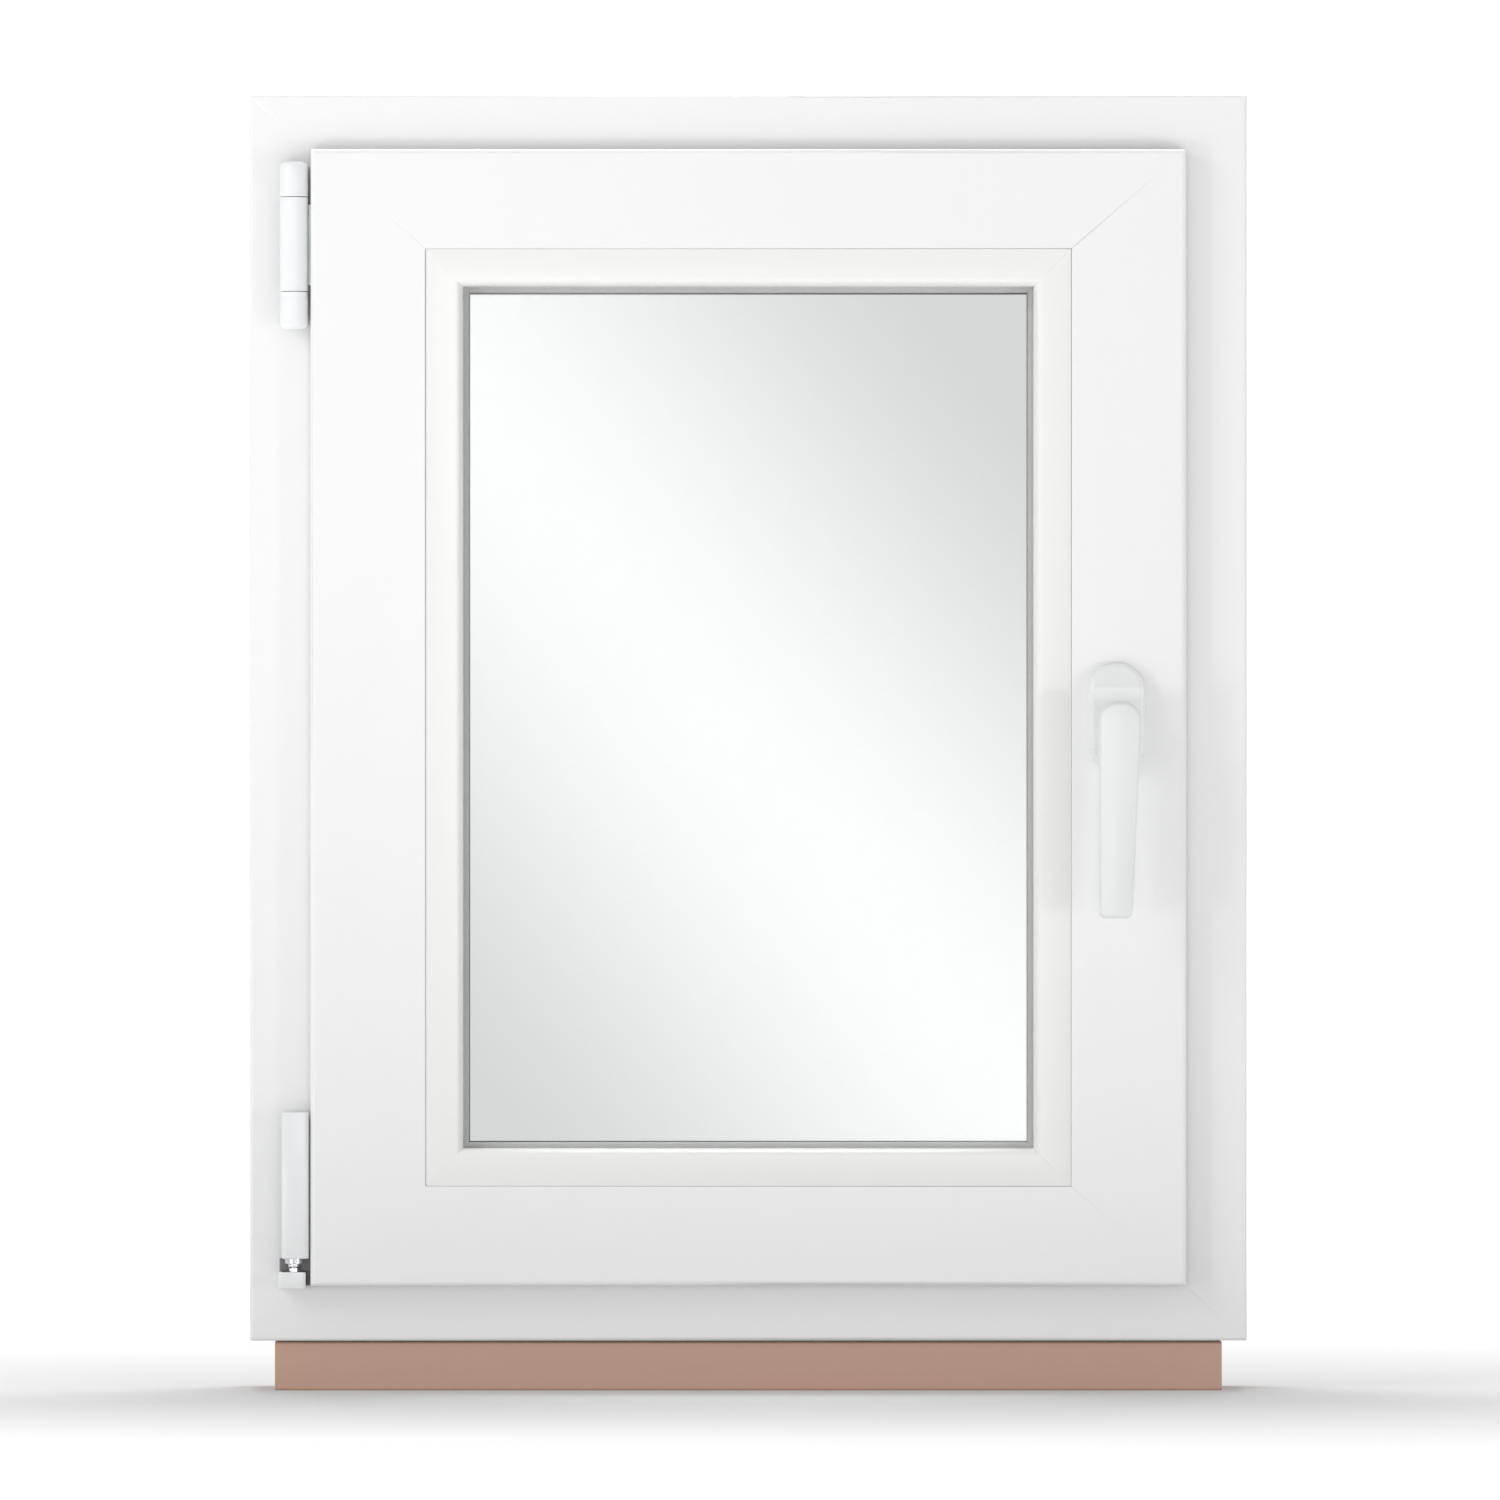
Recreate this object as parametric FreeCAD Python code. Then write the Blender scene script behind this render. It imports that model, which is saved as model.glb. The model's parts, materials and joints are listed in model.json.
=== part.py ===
import FreeCAD, Part
import math
import os
from FreeCAD import Vector

os.makedirs("parts", exist_ok=True)

# Tilt-and-turn casement window in white uPVC, hinged on the left as seen from the room.
# Millimetres. X runs across the window, +Y points out of the building, +Z points up.
# The origin is the middle of the sill profile's underside, at half the frame's depth.

# Overall
frame_width = 600.0
frame_height = 750.0
frame_depth = 70.0
sill_height = 30.0
sill_depth = 60.0
sill_setback = 4.0
sill_end_setback = 15.0
sill_tape = 1.0
sill_cap = 2.0
sill_edge_radius = 1.5
sill_tape_inset = 3.0

# Faces seen from the room, from the outer edge to the glass
jamb_face = 37.0
head_face = 33.5
stile_face = 69.0
rail_face = 60.0
bead_face = 22.5
gasket_nose = 3.5

# Frame and sash section
wall = 3.0
web = 2.5
lap = 8.0
rebate_gap = 12.0
lip_width = 20.0
lip_thickness = 18.0
sash_proud = 18.0
flange_gap = 3.0
sash_seal = 1.5
outer_gap = 4.0
glass_lip = 15.0
bead_recess = 1.0
bead_bevel = 5.0
frame_edge_radius = 2.0
sash_edge_radius = 3.0
frame_front_chamber = 8.0
frame_steel_depth = 30.0
steel_wall = 1.5
weld_clearance = 12.0
fixing_hole = 5.1
fixing_spacing = 450.0

# Drain caps outside
drain_cap_length = 40.0
drain_cap_height = 12.0
drain_cap_proud = 3.5
drain_cap_chamfer = 1.5

# Glazing unit
pane = 4.0
cavity = 16.0
block_thickness = 5.0
block_length = 80.0
block_from_corner = 60.0
outer_gasket = 3.0
inner_gasket = 4.0
spacer_width = 6.5
edge_seal = 3.0

# Hardware groove round the sash
groove_start = 6.0
groove_width = 16.0
groove_depth = 12.0
faceplate_thickness = 2.5
rod_thickness = 2.5
rod_width = 12.0
rod_gap = 0.5
corner_leg = 55.0
rod_end_gap = 4.0
slot_play = 0.8

# Locking cams and keeps
cam_diameter = 5.5
cam_reach = 9.0
keep_plate = 2.0
bearing_plate = 1.2
keep_lip = 1.8
keep_clearance = 0.3
tilt_keep_clearance = 1.0
lip_half_length = 9.0
keep_lip_height = 5.5
tilt_lip_height = 8.0
keep_half_length = 26.0
keep_screw_from_end = 7.0
lock_cam_from_top = 120.0
top_cam_x = 70.0
bottom_cam_x = 120.0

# Handle and gearbox
backset = 22.0
handle_from_centre = 0.0
rod_stroke = 18.0
teeth = 16
pinion_thickness = 10.0
spindle = 7.0
handle_screw_spacing = 43.0
rosette_width = 33.0
rosette_height = 66.0
rosette_depth = 11.0
rosette_wall = 1.8
rosette_bevel = 3.5
base_plate = 5.0
neck_diameter = 18.0
neck_play = 0.3
handle_reach = 32.0
lever_thickness = 13.0
lever_length = 120.0
lever_top = 9.0
lever_left = 11.5
lever_right_top = 14.0
lever_right_end = 8.5
case_wall = 2.0
case_half_height = 55.0
case_reach = 18.0
spindle_hole = 5.25
spindle_passage = 7.0

# Hinge side
hinge_inset = 27.0
hinge_proud = 10.0
knuckle_radius = 6.5
cover_radius = 8.5
pin_radius = 3.5
running_clearance = 0.05
knuckle_gap = 0.4
stay_from_top = 41.0
upper_knuckle = 21.0
arm_knuckle = 56.5
lower_knuckle = 22.5
stay_length = 220.0
stay_width = 14.0
stay_thickness = 2.5
strap_thickness = 2.0
strap_gap = 0.3
stay_pin_radius = 3.0
stay_slot = 11.0
guide_end = 35.0
guide_spare = 18.0
guide_slot_start = 60.0
cover_end_cap = 2.0
pivot_height = 12.5
ball_radius = 3.5
stem_radius = 3.0
pin_gap = 8.0
base_height = 10.0
bearing_sheet = 0.9
bearing_sheet_gap = 0.3
band_height = 88.0
band_leg = 2.2

# Screws
screw_radius = 2.0
screw_head = 4.0
screw_fit = 0.05
keep_screw = 15.0
bearing_screw = 12.0
bearing_screw_head = 3.0
band_screw = 12.0
handle_screw_radius = 2.5
handle_screw_head = 3.6
handle_screw_head_depth = 1.8
screw_hole_spare = 1.0

# Places that follow from the sizes above
half_width = frame_width / 2
frame_bottom = sill_height
frame_top = sill_height + frame_height
room = -frame_depth / 2
outside = frame_depth / 2
sash_front = room - sash_proud
flange_back = room - flange_gap
lip_front = outside - lip_thickness
sash_back = lip_front - outer_gap
glass_lip_front = sash_back - glass_lip
glass_back = glass_lip_front - outer_gasket
glass_front = glass_back - 2 * pane - cavity
bead_back = glass_front - inner_gasket
bead_front = sash_front + bead_recess
groove_front = room + groove_start
groove_back = groove_front + groove_width
groove_middle = groove_front + groove_width / 2
body_start = lap + rebate_gap
rod_start = body_start + faceplate_thickness + rod_gap
rod_end = rod_start + rod_thickness
groove_end = body_start + groove_depth
cam_tip = body_start - cam_reach
keep_face = lap + keep_plate
axis_x = -half_width + hinge_inset
axis_y = room - hinge_proud
handle_w = body_start + backset
handle_x = half_width - jamb_face - handle_w
handle_z = frame_bottom + frame_height / 2 + handle_from_centre
pitch = 4 * rod_stroke / teeth
pitch_radius = teeth * pitch / (2 * math.pi)
stay_top = frame_top - stay_from_top
pivot_z = frame_bottom + head_face + pivot_height
wall_z = frame_bottom + frame_height / 2
fixing_y = room + wall + frame_front_chamber + web + frame_steel_depth / 2


def box(x0, y0, z0, x1, y1, z1):
    return Part.makeBox(x1 - x0, y1 - y0, z1 - z0, Vector(x0, y0, z0))


def rod_x(x0, x1, y, z, radius):
    return Part.makeCylinder(radius, x1 - x0, Vector(x0, y, z), Vector(1, 0, 0))


def rod_y(x, y0, y1, z, radius):
    return Part.makeCylinder(radius, y1 - y0, Vector(x, y0, z), Vector(0, 1, 0))


def rod_z(x, y, z0, z1, radius):
    return Part.makeCylinder(radius, z1 - z0, Vector(x, y, z0), Vector(0, 0, 1))


# Insets from the frame's outer edges, as a pair: at the jambs, at the head and sill
def frame_inset(at_jamb, at_head):
    return (at_jamb, at_head)


# Insets counted from the sash's outer edge
def sash_inset(w):
    return (jamb_face + w, head_face + w)


# Insets counted from the line between the sash and its bead
def bead_inset(w):
    return (jamb_face + stile_face + w, head_face + rail_face + w)


def slab(inset, y0, y1):
    x = half_width - inset[0]
    return box(-x, y0, frame_bottom + inset[1], x, y1, frame_top - inset[1])


def ring(outer, inner, y0, y1):
    return slab(outer, y0, y1).cut(slab(inner, y0, y1))


# Rounds the four edges of a slab that faces the room
def rounded_slab(inset, y0, y1, radius):
    solid = slab(inset, y0, y1)
    front = [e for e in solid.Edges if abs(e.BoundBox.YMin - y0) < 0.01 and e.BoundBox.YLength < 0.01]
    return solid.makeFillet(radius, front)


# The prism that holds one side of a mitred rectangle. The mitre leaves the corner at 45 degrees, as far as
# the rounded edge goes, and then runs to the point where both faces end
def sector(side, inset, slope, square=0.0):
    left = -half_width + inset[0]
    low = frame_bottom + inset[1]
    high = frame_top - inset[1]
    reach = min(half_width, frame_height / 2) - max(inset) - 20.0
    rise = (slope[1] - square) / (slope[0] - square)
    steps = [(0.0, 0.0), (square, square), (reach, square + rise * (reach - square))]
    if square == 0.0:
        steps.pop(1)
    ends = {"left": [(left, high), (left, low)], "right": [(-left, low), (-left, high)],
            "top": [(-left, high), (left, high)], "bottom": [(left, low), (-left, low)]}[side]
    points = []
    for end, order in zip(ends, (reversed(steps), steps)):
        for x_step, z_step in order:
            x = end[0] - math.copysign(x_step, end[0])
            z = end[1] + (z_step if end[1] == low else -z_step)
            points.append(Vector(x, -200, z))
    face = Part.Face(Part.makePolygon(points + points[:1]))
    return face.extrude(Vector(0, 400, 0))


def save(shape, name):
    solids = shape.Solids
    shape = solids[0] if len(solids) == 1 else Part.makeCompound(solids)
    shape.exportStep("parts/" + name + ".step")
    print(name, len(solids), "solid(s)", round(shape.Volume / 1000, 1), "cm3")


# A countersunk screw, its head flush with the point and as deep as the plate it holds
def screw(point, direction, length, depth, radius=screw_radius, head=screw_head):
    shank = Part.makeCylinder(radius, length, point, direction)
    return shank.fuse(Part.makeCone(head, radius, depth, point, direction))


def screw_hole(point, direction, length, radius=screw_radius):
    return Part.makeCylinder(radius + screw_fit, length, point, direction)


# ---- outer frame ----

frame_chamber = frame_inset(jamb_face + lap - wall, head_face + lap - wall)
frame_steel_front = fixing_y - frame_steel_depth / 2
frame_steel_back = fixing_y + frame_steel_depth / 2


def frame_ring():
    body = rounded_slab((0, 0), room, outside, frame_edge_radius).cut(slab(sash_inset(lap), room, outside))
    lip = ring(sash_inset(lap), sash_inset(lap + lip_width), lip_front, outside)
    shape = body.fuse(lip).removeSplitter()
    for y0, y1 in [(room + wall, frame_steel_front - web), (frame_steel_front, frame_steel_back),
                   (frame_steel_back + web, outside - wall)]:
        shape = shape.cut(ring((wall, wall), frame_chamber, y0, y1))
    return shape


def fixing_holes():
    holes = []
    for z in (wall_z - fixing_spacing / 2, wall_z + fixing_spacing / 2):
        holes.append(rod_x(-half_width - 1, half_width + 1, fixing_y, z, fixing_hole))
    return Part.makeCompound(holes)


def make_frame():
    whole = frame_ring()
    for screw_point, direction in keep_screw_places() + bearing_screw_places():
        whole = whole.cut(screw_hole(screw_point, direction, keep_screw + screw_hole_spare))
    whole = whole.cut(fixing_holes())
    names = {"left": "frame_jamb_hinge", "right": "frame_jamb_lock", "top": "frame_head", "bottom": "frame_sill"}
    for side, name in names.items():
        save(whole.common(sector(side, (0, 0), (jamb_face, head_face), frame_edge_radius)), name)


# Square steel tubes in the middle chamber, cut short of the welded corners
def make_frame_steel():
    jamb_end = jamb_face + lap + weld_clearance
    head_end = head_face + lap + weld_clearance
    tubes = []
    for sign in (-1, 1):
        xa = sign * (half_width - wall)
        xb = sign * (half_width - frame_chamber[0])
        x0, x1 = min(xa, xb), max(xa, xb)
        z0, z1 = frame_bottom + head_end, frame_top - head_end
        tube = box(x0, frame_steel_front, z0, x1, frame_steel_back, z1)
        bore = box(x0 + steel_wall, frame_steel_front + steel_wall, z0, x1 - steel_wall,
                   frame_steel_back - steel_wall, z1)
        tubes.append(tube.cut(bore).cut(fixing_holes()))
    for z0, z1 in [(frame_bottom + wall, frame_bottom + frame_chamber[1]),
                   (frame_top - frame_chamber[1], frame_top - wall)]:
        x1 = half_width - jamb_end
        tube = box(-x1, frame_steel_front, z0, x1, frame_steel_back, z1)
        bore = box(-x1, frame_steel_front + steel_wall, z0 + steel_wall, x1,
                   frame_steel_back - steel_wall, z1 - steel_wall)
        tubes.append(tube.cut(bore))
    steel = Part.makeCompound(tubes)
    for point, direction in keep_screw_places():
        steel = steel.cut(screw_hole(point, direction, keep_screw + screw_hole_spare))
    save(steel, "frame_reinforcement")


def make_frame_gasket():
    play = 0.3
    save(ring(sash_inset(body_start + 1), sash_inset(body_start + 7), sash_back + play, lip_front), "frame_gasket")


def make_drain_caps():
    caps = []
    for x in (-frame_width / 4, frame_width / 4):
        cap = box(x - drain_cap_length / 2, outside, frame_bottom + drain_cap_height,
                  x + drain_cap_length / 2, outside + drain_cap_proud, frame_bottom + 2 * drain_cap_height)
        top = [e for e in cap.Edges if e.BoundBox.YMin > outside + drain_cap_proud - 0.1]
        caps.append(cap.makeChamfer(drain_cap_chamfer, top))
    save(Part.makeCompound(caps), "drain_caps")


# ---- sill profile under the frame ----

sill_front = room + sill_setback
sill_back = sill_front + sill_depth
sill_half = half_width - sill_end_setback


def make_sill_profile():
    top = sill_height - sill_tape
    shape = box(-sill_half + sill_cap, sill_front, 0, sill_half - sill_cap, sill_back, top)
    edges = [e for e in shape.Edges
             if e.BoundBox.XLength > frame_width / 2 and e.BoundBox.YMin < sill_front + 0.01]
    shape = shape.makeFillet(sill_edge_radius, edges)
    chamber = (sill_depth - 2 * wall - 2 * web) / 3
    for i in range(3):
        y0 = sill_front + wall + i * (chamber + web)
        shape = shape.cut(box(-sill_half, y0, wall, sill_half, y0 + chamber, top - wall))
    save(shape, "sill_profile")
    caps = []
    for x0 in (-sill_half, sill_half - sill_cap):
        cap = box(x0, sill_front, 0, x0 + sill_cap, sill_back, top)
        front = [e for e in cap.Edges if e.BoundBox.XLength > 0.1 and e.BoundBox.YMax < sill_front + 0.01]
        caps.append(cap.makeFillet(sill_edge_radius, front))
    save(Part.makeCompound(caps), "sill_end_caps")
    save(box(-sill_half + sill_cap, sill_front + sill_tape_inset, top, sill_half - sill_cap,
             sill_back - sill_tape_inset, sill_height), "sill_tape")


# ---- sash ----

sash_steel_front = groove_back + wall
sash_wall_inner = (jamb_face + stile_face - wall, head_face + rail_face - wall)


def sash_ring():
    flange = rounded_slab(sash_inset(0), sash_front, flange_back, sash_edge_radius)
    body = slab(sash_inset(body_start), flange_back, sash_back)
    shape = flange.fuse(body).removeSplitter()
    shape = shape.cut(slab(bead_inset(0), sash_front, glass_lip_front))
    shape = shape.cut(slab(bead_inset(bead_face), glass_lip_front, sash_back))
    shape = shape.cut(ring(sash_inset(body_start), sash_inset(groove_end), groove_front, groove_back))
    shape = shape.cut(ring(sash_inset(body_start + wall), sash_wall_inner, sash_front + wall, groove_front - web))
    shape = shape.cut(ring(sash_inset(groove_end + wall), sash_wall_inner, groove_front, groove_back))
    shape = shape.cut(ring(sash_inset(body_start + wall), sash_wall_inner, sash_steel_front, sash_back - wall))
    return shape


# The lock stile opens for the gearbox, the spindle and the two handle screws
def gearbox_cut():
    x_out = half_width - jamb_face
    pocket = box(x_out - handle_w - case_reach, groove_front, handle_z - case_half_height, x_out - groove_end,
                 groove_back, handle_z + case_half_height)
    passage = rod_y(handle_x, sash_front, groove_front, handle_z, spindle_passage)
    cuts = pocket.fuse(passage)
    for sign in (-1, 1):
        z = handle_z + sign * handle_screw_spacing / 2
        cuts = cuts.fuse(rod_y(handle_x, sash_front, groove_front, z, handle_screw_radius + screw_fit))
    return cuts


def make_sash():
    whole = sash_ring().cut(gearbox_cut())
    for point, direction in band_screw_places():
        whole = whole.cut(screw_hole(point, direction, band_screw + 2 * screw_hole_spare))
    names = {"left": "sash_stile_hinge", "right": "sash_stile_lock", "top": "sash_rail_top",
             "bottom": "sash_rail_bottom"}
    for side, name in names.items():
        save(whole.common(sector(side, sash_inset(0), (stile_face, rail_face), sash_edge_radius)), name)


def make_sash_steel():
    tubes = []
    y0, y1 = sash_steel_front, sash_back - wall
    start_x = half_width - jamb_face - body_start - wall
    end_x = half_width - sash_wall_inner[0]
    for sign in (-1, 1):
        x0, x1 = sorted((sign * start_x, sign * end_x))
        z0 = frame_bottom + sash_wall_inner[1] + weld_clearance
        z1 = frame_top - sash_wall_inner[1] - weld_clearance
        bore = box(x0 + steel_wall, y0 + steel_wall, z0, x1 - steel_wall, y1 - steel_wall, z1)
        tubes.append(box(x0, y0, z0, x1, y1, z1).cut(bore))
    start_z = head_face + body_start + wall
    for z0, z1 in [(frame_bottom + start_z, frame_bottom + sash_wall_inner[1]),
                   (frame_top - sash_wall_inner[1], frame_top - start_z)]:
        x1 = half_width - sash_wall_inner[0] - weld_clearance
        bore = box(-x1, y0 + steel_wall, z0 + steel_wall, x1, y1 - steel_wall, z1 - steel_wall)
        tubes.append(box(-x1, y0, z0, x1, y1, z1).cut(bore))
    steel = Part.makeCompound(tubes)
    for point, direction in band_screw_places():
        steel = steel.cut(screw_hole(point, direction, band_screw + 2 * screw_hole_spare))
    save(steel, "sash_reinforcement")


# Seal behind the sash's overlap, left out where the two hinge straps pass
def make_sash_gasket():
    seal = ring(sash_inset(4), sash_inset(10), flange_back, flange_back + sash_seal)
    seal = seal.cut(box(-half_width, flange_back, stay_top - 90, axis_x + 40, room, frame_top))
    seal = seal.cut(box(-half_width, flange_back, frame_bottom, axis_x + 40, room, pivot_z + 100))
    save(seal, "sash_gasket")


def make_beads():
    outer = bead_inset(0)
    inner = bead_inset(bead_face)
    shape = ring(outer, inner, bead_front, bead_back)
    x = half_width - inner[0]
    z0 = frame_bottom + inner[1]
    z1 = frame_top - inner[1]
    cutter = Part.makeWedge(-x - bead_bevel, bead_front, z0 - bead_bevel, z0, -x,
                            x + bead_bevel, bead_front + bead_bevel + 1, z1 + bead_bevel, z1, x)
    shape = shape.cut(cutter)
    names = {"left": "bead_hinge_side", "right": "bead_lock_side", "top": "bead_top", "bottom": "bead_bottom"}
    for side, name in names.items():
        save(shape.common(sector(side, outer, (1, 1))), name)


# Each glazing gasket is pressed between its seat and the glass, with a nose in sight
def make_glazing_gaskets():
    seat = bead_inset(bead_face - 8)
    nose = bead_inset(bead_face + gasket_nose)
    save(ring(seat, nose, bead_back, glass_front), "glazing_gasket_inner")
    save(ring(seat, nose, glass_back, glass_lip_front), "glazing_gasket_outer")


def make_glass():
    edge = bead_inset(block_thickness)
    spacer_out = bead_inset(block_thickness + edge_seal)
    spacer_in = bead_inset(block_thickness + edge_seal + spacer_width)
    cavity_front = glass_front + pane
    cavity_back = glass_back - pane
    save(slab(edge, glass_front, cavity_front), "glass_inner")
    save(slab(edge, cavity_back, glass_back), "glass_outer")
    save(ring(spacer_out, spacer_in, cavity_front, cavity_back), "glass_spacer")
    save(ring(edge, spacer_out, cavity_front, cavity_back), "glass_edge_seal")


def make_glazing_blocks():
    blocks = []
    inset_x, inset_z = bead_inset(0)
    x_edge = half_width - inset_x
    low = frame_bottom + inset_z
    high = frame_top - inset_z
    for x in (-x_edge + block_from_corner, x_edge - block_from_corner):
        for z0, z1 in [(low, low + block_thickness), (high - block_thickness, high)]:
            blocks.append(box(x - block_length / 2, glass_front, z0, x + block_length / 2, glass_back, z1))
    for z in (low + block_from_corner, high - block_from_corner):
        for x0, x1 in [(-x_edge, -x_edge + block_thickness), (x_edge - block_thickness, x_edge)]:
            blocks.append(box(x0, glass_front, z - block_length / 2, x1, glass_back, z + block_length / 2))
    save(Part.makeCompound(blocks), "glazing_blocks")


# ---- espagnolette: faceplates, corner drives, rods and cams ----

edge_x = half_width - jamb_face
low_edge = frame_bottom + head_face
high_edge = frame_top - head_face
lock_cam_z = frame_top - lock_cam_from_top
travel = 2 * rod_stroke
guide_right = axis_x + stay_length + guide_spare
slot_half = cam_diameter / 2 + slot_play


def make_faceplates():
    z0 = low_edge + body_start + corner_leg
    z1 = high_edge - body_start - corner_leg
    x0 = edge_x - body_start - faceplate_thickness
    plate = box(x0, groove_front, z0, edge_x - body_start, groove_back, z1)
    plate = plate.cut(box(x0, groove_middle - slot_half, lock_cam_z - travel - slot_half,
                          edge_x - body_start, groove_middle + slot_half, lock_cam_z + slot_half))
    save(plate, "faceplate_lock_side")
    x1 = edge_x - body_start - corner_leg
    z1 = high_edge - body_start
    plate = box(guide_right, groove_front, z1 - faceplate_thickness, x1, groove_back, z1)
    plate = plate.cut(box(top_cam_x - slot_half, groove_middle - slot_half, z1 - faceplate_thickness,
                          top_cam_x + travel + slot_half, groove_middle + slot_half, z1))
    save(plate, "faceplate_top")
    z0 = low_edge + body_start
    plate = box(-frame_width / 4, groove_front, z0, x1, groove_back, z0 + faceplate_thickness)
    plate = plate.cut(box(bottom_cam_x - travel - slot_half, groove_middle - slot_half, z0,
                          bottom_cam_x + slot_half, groove_middle + slot_half, z0 + faceplate_thickness))
    save(plate, "faceplate_bottom")


# An angle of faceplate round each lock-side corner, with a steel band inside it
def make_corner_drives():
    outer_x = edge_x - body_start
    angles = []
    bands = []
    for corner, up in [(high_edge - body_start, -1), (low_edge + body_start, 1)]:
        leg_z = sorted((corner, corner + up * corner_leg))
        flat_z = sorted((corner, corner + up * faceplate_thickness))
        upright = box(outer_x - faceplate_thickness, groove_front, leg_z[0], outer_x, groove_back, leg_z[1])
        flat = box(outer_x - corner_leg, groove_front, flat_z[0], outer_x, groove_back, flat_z[1])
        angles.append(upright.fuse(flat).removeSplitter())
        bands.append(corner_band(outer_x, corner, up))
    save(Part.makeCompound(angles), "corner_drives")
    save(Part.makeCompound(bands), "drive_bands")


def corner_band(corner_x, corner_z, up):
    radius = groove_depth - (rod_start - body_start) - 0.5
    centre_x = corner_x - groove_depth + 0.5
    centre_z = corner_z + up * (groove_depth - 0.5)
    outer = Part.makeCylinder(radius, rod_width - 2, Vector(centre_x, groove_middle - rod_width / 2 + 1, centre_z),
                              Vector(0, 1, 0))
    inner = Part.makeCylinder(radius - 1, rod_width, Vector(centre_x, groove_middle - rod_width / 2, centre_z),
                              Vector(0, 1, 0))
    quarter_z = sorted((centre_z, centre_z - up * groove_depth))
    quarter = box(centre_x, groove_front, quarter_z[0], centre_x + groove_depth, groove_back, quarter_z[1])
    return outer.cut(inner).common(quarter)


rack_tooth = pitch * 0.5 - 0.15
addendum = 0.85 * pitch / math.pi
dedendum = 1.15 * pitch / math.pi
pressure = math.radians(20)


# Involute pinion tooth outline, centred on +X
def pinion_outline():
    base = pitch_radius * math.cos(pressure)
    tip = pitch_radius + addendum
    root = pitch_radius - dedendum
    half_tooth = (rack_tooth / 2) / pitch_radius
    lift = math.tan(pressure) - pressure
    flank = []
    steps = 5
    for i in range(steps + 1):
        r = base + (tip - base) * i / steps
        roll = math.sqrt(max((r / base) ** 2 - 1, 0))
        flank.append((r, half_tooth + lift - (roll - math.atan(roll))))
    flank.insert(0, (root, flank[0][1] + 0.02))
    points = []
    for n in range(teeth):
        middle = 2 * math.pi * n / teeth
        for r, a in flank:
            points.append((r, middle - a))
        for r, a in reversed(flank):
            points.append((r, middle + a))
    return points


def make_pinion():
    y0 = groove_middle - pinion_thickness / 2
    points = [Vector(handle_x + r * math.cos(a), y0, handle_z + r * math.sin(a)) for r, a in pinion_outline()]
    face = Part.Face(Part.makePolygon(points + points[:1]))
    gear = face.extrude(Vector(0, pinion_thickness, 0))
    half = spindle / 2
    save(gear.cut(box(handle_x - half, y0, handle_z - half, handle_x + half, y0 + pinion_thickness,
                      handle_z + half)), "gearbox_pinion")


# The rack's teeth stand half a pitch off the pinion's tooth on the line of centres
def rack():
    y0 = groove_middle - pinion_thickness / 2
    pitch_line = handle_x + pitch_radius
    root = pitch_line + dedendum
    tip = pitch_line - addendum
    back = edge_x - rod_end
    slope = math.tan(pressure)
    count = int((travel + 18) / pitch)
    first = handle_z - 2 * pitch + pitch / 2
    low = first - pitch / 2
    high = low + count * pitch
    points = [(back, high), (back, low), (root, low)]
    for n in range(count):
        z = first + n * pitch
        half_root = rack_tooth / 2 + dedendum * slope
        half_tip = rack_tooth / 2 - addendum * slope
        points += [(root, z - half_root), (tip, z - half_tip), (tip, z + half_tip), (root, z + half_root)]
    points.append((root, high))
    outline = [Vector(x, y0, z) for x, z in points]
    face = Part.Face(Part.makePolygon(outline + outline[:1]))
    return face.extrude(Vector(0, pinion_thickness, 0))


def make_rods():
    y0 = groove_middle - rod_width / 2
    y1 = groove_middle + rod_width / 2
    lock_top = high_edge - body_start - groove_depth - 20
    lock_low = low_edge + groove_end + travel + rod_end_gap
    rod = box(edge_x - rod_end, y0, lock_low, edge_x - rod_start, y1, lock_top)
    cam = rod_x(edge_x - rod_start, edge_x - cam_tip, groove_middle, lock_cam_z, cam_diameter / 2)
    save(rod.fuse(rack()).fuse(cam).removeSplitter(), "lock_rod")
    top_right = edge_x - groove_end - travel - rod_end_gap
    rod = box(guide_right + 2 * rod_end_gap, y0, high_edge - rod_end, top_right, y1, high_edge - rod_start)
    cam = rod_z(top_cam_x, groove_middle, high_edge - rod_start, high_edge - cam_tip, cam_diameter / 2)
    save(rod.fuse(cam), "top_rod")
    bottom_right = edge_x - groove_end - rod_end_gap
    rod = box(bottom_cam_x - 60, y0, low_edge + rod_start, bottom_right, y1, low_edge + rod_end)
    cam = rod_z(bottom_cam_x, groove_middle, low_edge + cam_tip, low_edge + rod_start, cam_diameter / 2)
    save(rod.fuse(cam), "bottom_rod")


def make_gearbox_case():
    x0 = handle_x - case_reach
    x1 = edge_x - rod_end - 1
    y0, y1 = groove_front, groove_back
    z0, z1 = handle_z - case_half_height, handle_z + case_half_height
    case = box(x0, y0, z0, x1, y1, z1)
    case = case.cut(box(x0 + case_wall, y0 + case_wall, z0 + case_wall, x1, y1 - case_wall, z1 - case_wall))
    case = case.cut(rod_y(handle_x, y0, y1, handle_z, spindle_hole))
    for sign in (-1, 1):
        z = handle_z + sign * handle_screw_spacing / 2
        case = case.cut(rod_y(handle_x, y0, y0 + case_wall, z, handle_screw_radius + screw_fit))
    save(case, "gearbox_case")


# ---- keeps on the frame ----

lip_back = groove_middle - cam_diameter / 2 - keep_clearance
tilt_lip_back = groove_middle - cam_diameter / 2 - tilt_keep_clearance
keep_y0 = groove_front - 1.0
keep_y1 = groove_back + 2.0


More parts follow.
